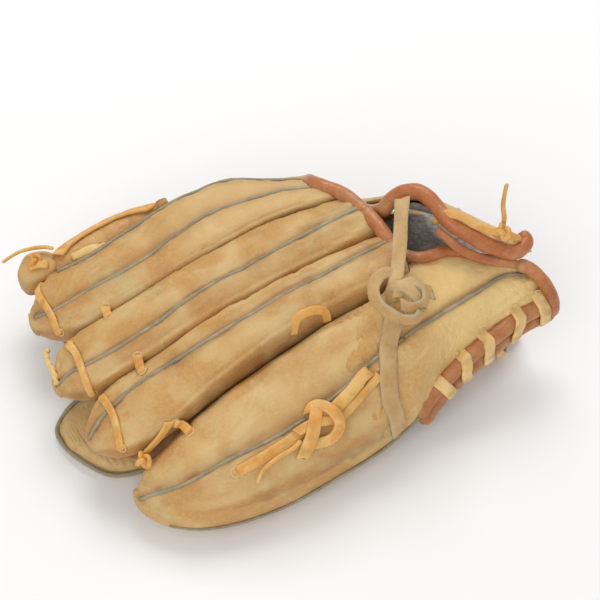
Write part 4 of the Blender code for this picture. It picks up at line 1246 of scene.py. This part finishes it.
# %% Bindings
tube("window_back_binding", [(32, 55, 67), (29, 46, 82), (28.5, 34.8, 90), (35, 24, 91.5), (39, 12.4, 92.5),
                             (42, -1, 92), (43.5, -13, 90.5), (44, -24, 87.5), (45, -34, 84)], 4.1, BINDING,
     "finger_side", ("window_back_binding",), "binding", around=24, uneven=0.09, wear=0.35, seed=2.0)
tube("window_low_binding", [(44, -28, 87), (52.9, -35.4, 85), (62.9, -37.2, 84), (73, -37.5, 83),
                            (85, -43, 78)], 3.3, BINDING, "finger_side", ("window_low_binding",), "binding",
     around=24, uneven=0.09, seed=4.0)
tube("wrist_binding", [(106.1, -56.1, 74), (112.7, -61.6, 71), (117.3, -67.6, 65.5), (120.8, -72.0, 57.5),
                       (122.6, -74.6, 49), (123, -74.5, 40)], 3.9, BINDING, "finger_side",
     ("wrist_binding",), "binding", around=24, uneven=0.09, wear=0.6, seed=6.0)
STRAP_ROWS = [
    [(75, -35, 99.5), (73, -20, 104), (66, -6, 103), (57, 8, 92), (51, 26, 74), (52, 43, 57), (57, 50, 42)],
    [(88.5, -50, 91), (86, -35, 101), (81, -20, 100), (74, -3, 94), (68, 20, 76), (66, 39, 57), (69, 47, 41)],
    [(103, -57, 82), (101, -45, 92), (96, -32, 91), (90, -14, 86), (82, 12, 74), (79, 35, 55), (81, 44, 40)],
    [(117, -56, 78.5), (114, -50, 83), (109, -40, 82), (103, -22, 78), (94, 8, 69), (90, 31, 51),
     (91, 41, 39)]]
sheet("wrist_strap", STRAP_ROWS, 3.0, PALE_TAN, "wrist_strap", ("wrist_strap",), "stall_leather", high=56,
      wide=120, seed=47.0, dents=0.5, wrinkles=0.35)
lining = [row[2:6] for row in STRAP_ROWS[:3]]
lining[0] = [tuple(0.8 * np.array(a) + 0.2 * np.array(b)) for a, b in zip(lining[0], lining[1])]
sheet("strap_lining", lining, 2.4, WOOL, "wrist_strap", ("strap_lining",), "fleece", high=40, wide=70,
      seed=53.0, dents=0.7, wrinkles=0.0, sink=4.2)
STRAP_EDGE = [(113.5, -44.6, 83.5), (115.2, -50.3, 81.5), (105.8, -54.0, 81.5), (93.1, -50.2, 88),
              (82.7, -42.5, 95), (75.0, -32.4, 100), (72.6, -21.6, 103.5), (70.8, -14.7, 105.3),
              (67.4, -8.1, 105.4), (61.7, -4.0, 103), (56.3, -1.6, 98), (51.6, -0.5, 91), (48, 8, 83),
              (46, 24, 73), (46, 42, 58)]
tube("strap_binding", STRAP_EDGE, 4.4, BINDING, "wrist_strap", ("strap_binding",), "binding", around=28,
     uneven=0.09, wear=0.4, seed=8.0)

# %% [markdown]
# ## Knots
#
# A pulled-tight lace knot is an overhand knot. Its centre line is a trefoil, which goes through itself as a
# real knot does; a flattened section makes it read as lace.

# %% Knots of lace
def knot(name, middle, radii, finish, body, slot="rawhide_lace", thick=1.5, turn=0.0, tilt=0.0):
    """An overhand knot whose middle line fills an ellipsoid of these radii."""
    t = np.linspace(0, 2 * math.pi, 90)
    x = np.sin(t) + 2 * np.sin(2 * t)
    y = np.cos(t) - 2 * np.cos(2 * t)
    z = -np.sin(3 * t)
    line = np.stack([x / 3, y / 3, z], axis=1) * (np.array(radii) - thick * 0.8)
    spin = Matrix.Rotation(turn, 3, "Z") @ Matrix.Rotation(tilt, 3, "Y")
    line = line @ np.array(spin).T + np.array(middle)
    return tube(name, line, thick, finish, body, (name,), slot, around=12, squash=0.72, twist=1.5, step=0.6,
                round_ends=False, uneven=0.06)


knot("strap_lace_knot", (99.6, -48.6, 95.4), (5.2, 4.8, 4.2), RAWHIDE, "wrist_strap", thick=1.9, turn=0.4)
knot("web_lace_knot", (-127.5, 86.5, 53.2), (5.0, 4.2, 3.2), RAWHIDE, "finger_side", thick=1.6, turn=1.0)
knot("tip_lace_knot", (-122.6, -58.8, 37.2), (4.8, 4.6, 4.2), RAWHIDE, "finger_side", thick=1.7, turn=0.7)
LIGHTWARD = (-0.35, -0.6, 0.7)
lace("strap_lace", [(*row, *LIGHTWARD) for row in (
    (70.8, -26.0, 95), (71.2, -27.2, 100.5), (74.4, -30.5, 105.0), (79.6, -35.8, 105.2), (84.6, -41.0, 101.8),
    (90.6, -45.2, 98.6), (97, -48.5, 97))], RAWHIDE, "wrist_strap", ("strap_lace",), size=(4.4, 1.9),
     seed=6.0)
lace("strap_lace_near_end", [(*row, *LIGHTWARD) for row in (
    (101.5, -49.5, 94.5), (105, -50.6, 91.5), (108.5, -51.0, 88.2), (110, -50.0, 84))], RAWHIDE,
     "wrist_strap", ("strap_lace",), size=(4.2, 1.9), seed=7.0)
lace("strap_under_edge", [(*row, -0.25, -0.8, 0.45) for row in (
    (68, -31, 96), (71.0, -37.5, 93.8), (76.8, -44.8, 88.6), (88.4, -51.6, 81.4), (101.6, -55.6, 75.4),
    (109, -57.4, 72.5))],
     BINDING, "wrist_strap", (), "binding", size=(5.0, 2.2), seed=8.5)

# %% [markdown]
# ## Laces over the stalls
#
# The fingertips are tied together by laces that dive through pairs of holes, short bits of lace cross the
# creases, and a tight run of lace stands along the web edge. They lie on the measured surface and step over
# the welts.

# %% Fingertip and crease laces
def dive(route, depth=3.0):
    """Sinks both ends of a route into the leather, as a lace goes into its holes."""
    first, last = route[0].copy(), route[-1].copy()
    first[:3] = first[:3] + (first[:3] - route[1][:3]) * 0.15 - first[3:6] * depth
    last[:3] = last[:3] + (last[:3] - route[-2][:3]) * 0.15 - last[3:6] * depth
    return np.concatenate([first[None], route, last[None]])


tips = Skin(STALLS + ["pinky_heel_panel"] + list(WELT_LINES))
TIP_LACES = {
    "index_tip_lace": [(-131.5, 77.5, 44.5), (-133.5, 70, 46.5), (-134.2, 64.6, 47.8), (-133.5, 48.4, 48.7),
                       (-132, 38.9, 41.3)],
    "middle_tip_lace": [(-131.5, 22, 49), (-131.3, 13.5, 52.4), (-131.8, -0.9, 51.4), (-130.9, -8.2, 40.5)],
    "ring_tip_lace": [(-127.8, -16, 44), (-127.8, -27.3, 48.6), (-129.7, -40.1, 46.7), (-130.5, -48.8, 40.9)],
}
for name, places in TIP_LACES.items():
    lace(name, dive(tips.on(places, 1.3)), RAWHIDE, "finger_side", (name,), seed=len(name),
         size=(4.3, 1.9), grimy=0.45)
CREASE_LACES = {
    "index_middle_lace": [(-106.6, 24.6, 58), (-105.4, 29.5, 53), (-105, 33.2, 55)],
    "middle_ring_lace": [(-105, -17.6, 58), (-103.6, -12.2, 53), (-102.6, -7.6, 56)],
    "ring_pinky_lace": [(-95, -57.5, 44), (-97.6, -50.8, 46), (-101, -46.5, 48)],
}
for name, places in CREASE_LACES.items():
    lace(name, dive(tips.on(places, 1.2)), RAWHIDE, "finger_side", (name,), seed=len(name) + 9)
lace("tip_lace_run", tips.on([(-119.5, -57.4, 37, 1.0), (-116.8, -56.5, 38), (-110.4, -53.6, 44),
                              (-103.3, -50.4, 50, -1.0)], 1.4), RAWHIDE, "finger_side", (), seed=31.0)
tube("fingertip_cord", [(-141.5, 33, 38), (-144.4, 28.8, 41), (-145.2, 21.7, 41), (-145.0, 14, 40.5),
                        (-146.0, 7.6, 38.0)], 2.0, CREAM, "finger_side", (), "rawhide_lace",
     around=12, squash=0.6, twist=3.0, step=0.6)
loop = [(-25.8, -42.3, 70.4, *LIGHTWARD), (-24.6, -41.5, 76.0, *LIGHTWARD), (-21.5, -40.2, 80.0, *LIGHTWARD),
        (-14.2, -40.3, 81.4, *LIGHTWARD), (-8.0, -41.3, 79.4, *LIGHTWARD), (-5.6, -42.0, 75.4, *LIGHTWARD),
        (-5.0, -42.4, 70.0, *LIGHTWARD)]
lace("crotch_lace_loop", loop, RAWHIDE, "finger_side", ("crotch_lace_loop",), seed=12.0)
web_skin = Skin(["web_finger_panel", "index_stall", "web_top_piece"])
lace("web_edge_lace", web_skin.on([(-114, 86.1, 50), (-101.1, 91.6, 52), (-84.4, 93.6, 54), (-68.1, 94, 56),
                                   (-52, 90.4, 58)], 1.5), RAWHIDE, "finger_side", ("web_edge_lace",),
     size=(6.0, 2.6), seed=15.0)
lace("web_stitch", dive(web_skin.on([(-106.8, 80.7, 51), (-97, 80.3, 53), (-87.4, 80.2, 54)], 1.3)), CREAM,
     "finger_side", (), "heel_lace", seed=16.0)
lace("web_corner_lace", dive(web_skin.on([(-131.5, 84, 52), (-127, 83.2, 53, 0.6), (-122, 81.5, 52)], 1.3)),
     RAWHIDE, "finger_side", (), seed=17.0)

# %% [markdown]
# The little finger's lacing runs back from a hole near the tip, is knotted with a loop and a flat band over
# it, and goes on in two ends, one of them cut off and standing up a little.

# %% Lacing of the little finger
lace("pinky_lace_upper", dive(tips.on([(-81.3, -89.4, 40), (-67.9, -89.4, 43), (-55.2, -88.7, 45.6),
                                       (-44, -87.2, 48)], 1.4)), RAWHIDE, "finger_side",
     ("pinky_lace_upper",), size=(6.0, 2.2), seed=18.0)
lace("pinky_lace_run", tips.on([(-33, -86.2, 50, 1.5), (-25, -85, 52, 1.0), (-15.9, -82.7, 54.7, 0.4),
                                (-6, -79.7, 59, 0.8), (1.8, -76.2, 62.7, 2.2)], 1.6), RAWHIDE, "finger_side",
     ("pinky_lace_run",), size=(7.0, 2.4), seed=19.0)
lace("pinky_lace_lower", dive(tips.on([(-26, -90, 47), (-20.1, -88.5, 49.1), (-6.8, -84.9, 53.6),
                                       (5.7, -80.4, 59.2)], 1.2)), RAWHIDE, "finger_side",
     ("pinky_lace_lower",), size=(5.2, 2.0), seed=20.0)
KNOT_LOOP = [(-36.5, -82.0, 53.5, 1.0), (-33.1, -78.9, 55.3, 2.0), (-25, -84.1, 52.2, 6.0),
             (-23.4, -89.6, 47.7, 6.0), (-28.4, -93.1, 42.9, 3.5), (-36.4, -93.5, 42.2, 1.5),
             (-42.0, -92.4, 44.0, 1.5)]
KNOT_BAND = [(-31.0, -79.5, 55.0, 1.0), (-33.5, -83.5, 52.0, 5.5), (-38.4, -88.1, 47.7, 6.0),
             (-44.8, -93.8, 41.7, 3.0), (-47.5, -96.0, 38.5, 0.6)]
KNOT_BASE = [(-46, -87.0, 47.5, 2.0), (-40, -86.0, 49, 3.0), (-32, -86.6, 49.5, 3.4), (-24, -87.5, 49.5, 2.2)]
knot_parts = [lace("part of a knot", tips.on(places, 1.2, soften=3), RAWHIDE, "finger_side", size=(wide, 2.3),
                   seed=22.0 + wide, grimy=0.4, build=False)
              for places, wide in ((KNOT_LOOP, 6.2), (KNOT_BAND, 7.0), (KNOT_BASE, 5.6))]
knot_marks = {mark: np.concatenate([part[2][mark] for part in knot_parts]) for mark in ("wear", "grime")}
joined("pinky_lace_knot", [part[:2] for part in knot_parts], RAWHIDE, "finger_side", marks=knot_marks,
       stands_for=("pinky_lace_knot",), slot="rawhide_lace")

# %% [markdown]
# ## The tie strap
#
# A wide thong goes through the finger roots and is tied in a flat knot on the back. The knot is made of the
# bands that really cross in it: two round the middle, a loop on each side and two ends.

# %% Tie strap and its flat knot
TIE_WIDTH = (7.8, 2.4)
lace("tie_strap_top", [(*row, *LIGHTWARD) for row in (
    (28.5, -54.5, 94), (30.3, -52.6, 96.5), (36.1, -44.3, 100), (41.9, -35.6, 105), (47, -27, 110),
    (53.6, -16.4, 113.5))], TIE_TAN, "finger_side", ("tie_strap_top",), "tie_strap", size=TIE_WIDTH,
     seed=21.0, cut_edge=RAW_EDGE)
low_route = tips.on([(25.5, -60.0, 77.5, 2.0), (24.4, -63.2, 75.6, 0.6), (18.3, -69, 70.1, 0.4),
                     (13.5, -76.6, 63.5, 0.2), (10.2, -83.6, 56.0), (8.4, -89.9, 47.4), (9.2, -93.5, 38),
                     (10.8, -95, 28.5), (11.2, -94.5, 24)], 1.7)
lace("tie_strap_bottom", low_route, TIE_TAN, "finger_side", ("tie_strap_bottom",), "tie_strap", size=TIE,
     seed=23.0, cut_edge=RAW_EDGE)
lace("tie_strap_end", [(34, -57, 91, 0, -0.3, 1), (39, -58.5, 90, 0, -0.3, 1), (44, -60, 88, 0.1, -0.3, 1),
                       (48, -61.5, 85.5, 0.3, -0.3, 1)], TIE_TAN, "finger_side", ("tie_strap_end",),
     "tie_strap", size=(8.0, 2.2), seed=25.0, cut_edge=RAW_EDGE)
COLLAR = [(31, -51.5, 96), (28.1, -47.8, 98.5), (21.3, -48.8, 99), (16.1, -53.2, 96), (15.6, -59.4, 92),
          (19.2, -66.2, 89), (24.8, -71.6, 86.5), (30.9, -74.4, 87), (35.3, -72.4, 90)]
SMALL_LOOP = [(26, -62, 94), (30.4, -58.8, 97.6), (37.6, -58.9, 97.2), (41.4, -63.6, 94), (38.4, -69.4, 91),
              (30.8, -69.6, 91), (25.5, -66.0, 93)]
BAND = [(24, -60, 88), (25.5, -56.0, 94), (29.5, -58.5, 98.2), (34.0, -63.5, 96.0), (36.5, -68.0, 90)]
KNOT_HEART = np.array([29.0, -58.0, 86.0])


def turned_out(line, lean):
    """A route whose flat side faces away from the heart of the knot, leaning towards lean."""
    facing = unit(unit(np.array(line, float) - KNOT_HEART) + np.array(lean))
    return np.concatenate([np.array(line, float), facing], axis=1)


tie_parts = [lace("part of the tie", turned_out(line, lean), TIE_TAN, "finger_side", size=size,
                  seed=30.0 + size[0], build=False)
             for line, lean, size in ((COLLAR, (-0.1, -0.9, 0.1), (6.8, 2.5)),
                                      (SMALL_LOOP, (0.2, -0.3, 0.3), (6.0, 2.4)),
                                      (BAND, (-0.2, -0.3, 0.5), (6.6, 2.4)))]
tie_marks = {mark: np.concatenate([part[2][mark] for part in tie_parts]) for mark in ("wear", "grime")}
joined("tie_strap_knot", [part[:2] for part in tie_parts], [TIE_TAN, RAW_EDGE], "finger_side",
       shades=sum((on_edge(part[1]) for part in tie_parts), []), marks=tie_marks,
       stands_for=("tie_strap_knot",), slot="tie_strap")

# %% [markdown]
# ## Holes
#
# Every lace goes through a punched hole whose rim has turned pale and whose inside is painted dark as shade.
# Holes are small turned cups set into the leather.

# %% Punched holes
HOLE_PROFILE = [(3.0, -0.5), (2.9, 0.15), (2.5, 0.42), (2.05, 0.3), (1.8, -0.1), (1.7, -0.3)]


def hole(spot):
    """A raised pale rim round a cup painted dark as shade, turned about the way the leather faces at spot."""
    middle, facing = spot[:3], unit(spot[3:6])
    side = unit(np.cross(facing, (0.3, 1.0, 0.1)))
    other = np.cross(facing, side)
    turn = 2 * math.pi * np.arange(18) / 18
    circle = np.cos(turn)[:, None] * side + np.sin(turn)[:, None] * other
    rings = np.array([middle + facing * rise + r * circle
                      for r, rise in HOLE_PROFILE])
    return closed_tube(rings)


def holes(name, spots, body, finish):
    parts = [hole(spot) for spot in spots]
    per_hole = len(parts[0][1])
    rim_faces = (len(HOLE_PROFILE) - 2) * 18
    # The cup faces take the dark finish: painted shade inside the hole.
    shades = [0 if i % per_hole < rim_faces else 1 for i in range(per_hole * len(parts))]
    rim_wear = np.tile(np.concatenate([np.repeat([0.2, 0.6, 0.9, 0.7, 0.2, 0.0], 18), [0, 0]]), len(parts))
    joined(name, parts, [finish, HOLE_SHADE], body, shades, {"wear": rim_wear})
    print(name, len(parts))


lace_ends = [ends[k] for laces in (TIP_LACES, CREASE_LACES) for ends in laces.values() for k in (0, -1)]
more_ends = [(-83.3, -89.6, 39.6), (7.5, -79.8, 59.8)]
spots = [tips.on([end, np.array(end) + 0.2, np.array(end) + 0.4], 0.0, soften=0)[0]
         for end in lace_ends + more_ends]
holes("lace_holes", spots, "finger_side", TAN)
holes("heel_lace_holes", heel_spots, "finger_side", TAN)

# %% [markdown]
# ## Floor and light
#
# A plain pale floor, a bright even surround and one large soft light from above and behind, with a weaker
# one in front, as in a product studio.

# %% Floor
floor_data = bpy.data.meshes.new("floor")
floor_data.from_pydata([(-3, -3, 0), (3, -3, 0), (3, 3, 0), (-3, 3, 0)], [], [(0, 1, 2, 3)])
floor = bpy.data.objects.new("floor", floor_data)
bpy.context.scene.collection.objects.link(floor)
floor.location.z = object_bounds()[0][2] - 0.0002
paper = bpy.data.materials.new("white paper")
paper.use_nodes = True
paper.node_tree.nodes["Principled BSDF"].inputs["Base Color"].default_value = (0.93, 0.925, 0.915, 1.0)
paper.node_tree.nodes["Principled BSDF"].inputs["Roughness"].default_value = 0.85
paper.node_tree.nodes["Principled BSDF"].inputs["Specular IOR Level"].default_value = 0.1
floor_data.materials.append(paper)


# %% Lights
def soft_light(name, azimuth, elevation, distance, size, power):
    data = bpy.data.lights.new(name, "AREA")
    data.size = size
    data.energy = power
    light = bpy.data.objects.new(name, data)
    bpy.context.scene.collection.objects.link(light)
    aim(light, math.radians(azimuth), math.radians(elevation), distance, LOOK_AT)


soft_light("key light", 150, 58, 1.6, 0.9, 13)
soft_light("front light", -45, 36, 1.8, 1.5, 13)
world = bpy.data.worlds.new("studio")
world.use_nodes = True
world.node_tree.nodes["Background"].inputs["Color"].default_value = (1.0, 1.0, 1.0, 1.0)
world.node_tree.nodes["Background"].inputs["Strength"].default_value = 0.5
bpy.context.scene.world = world
bpy.context.scene.view_settings.view_transform = "Standard"

# %% [markdown]
# ## The end

# %% The end
bpy.context.view_layer.update()
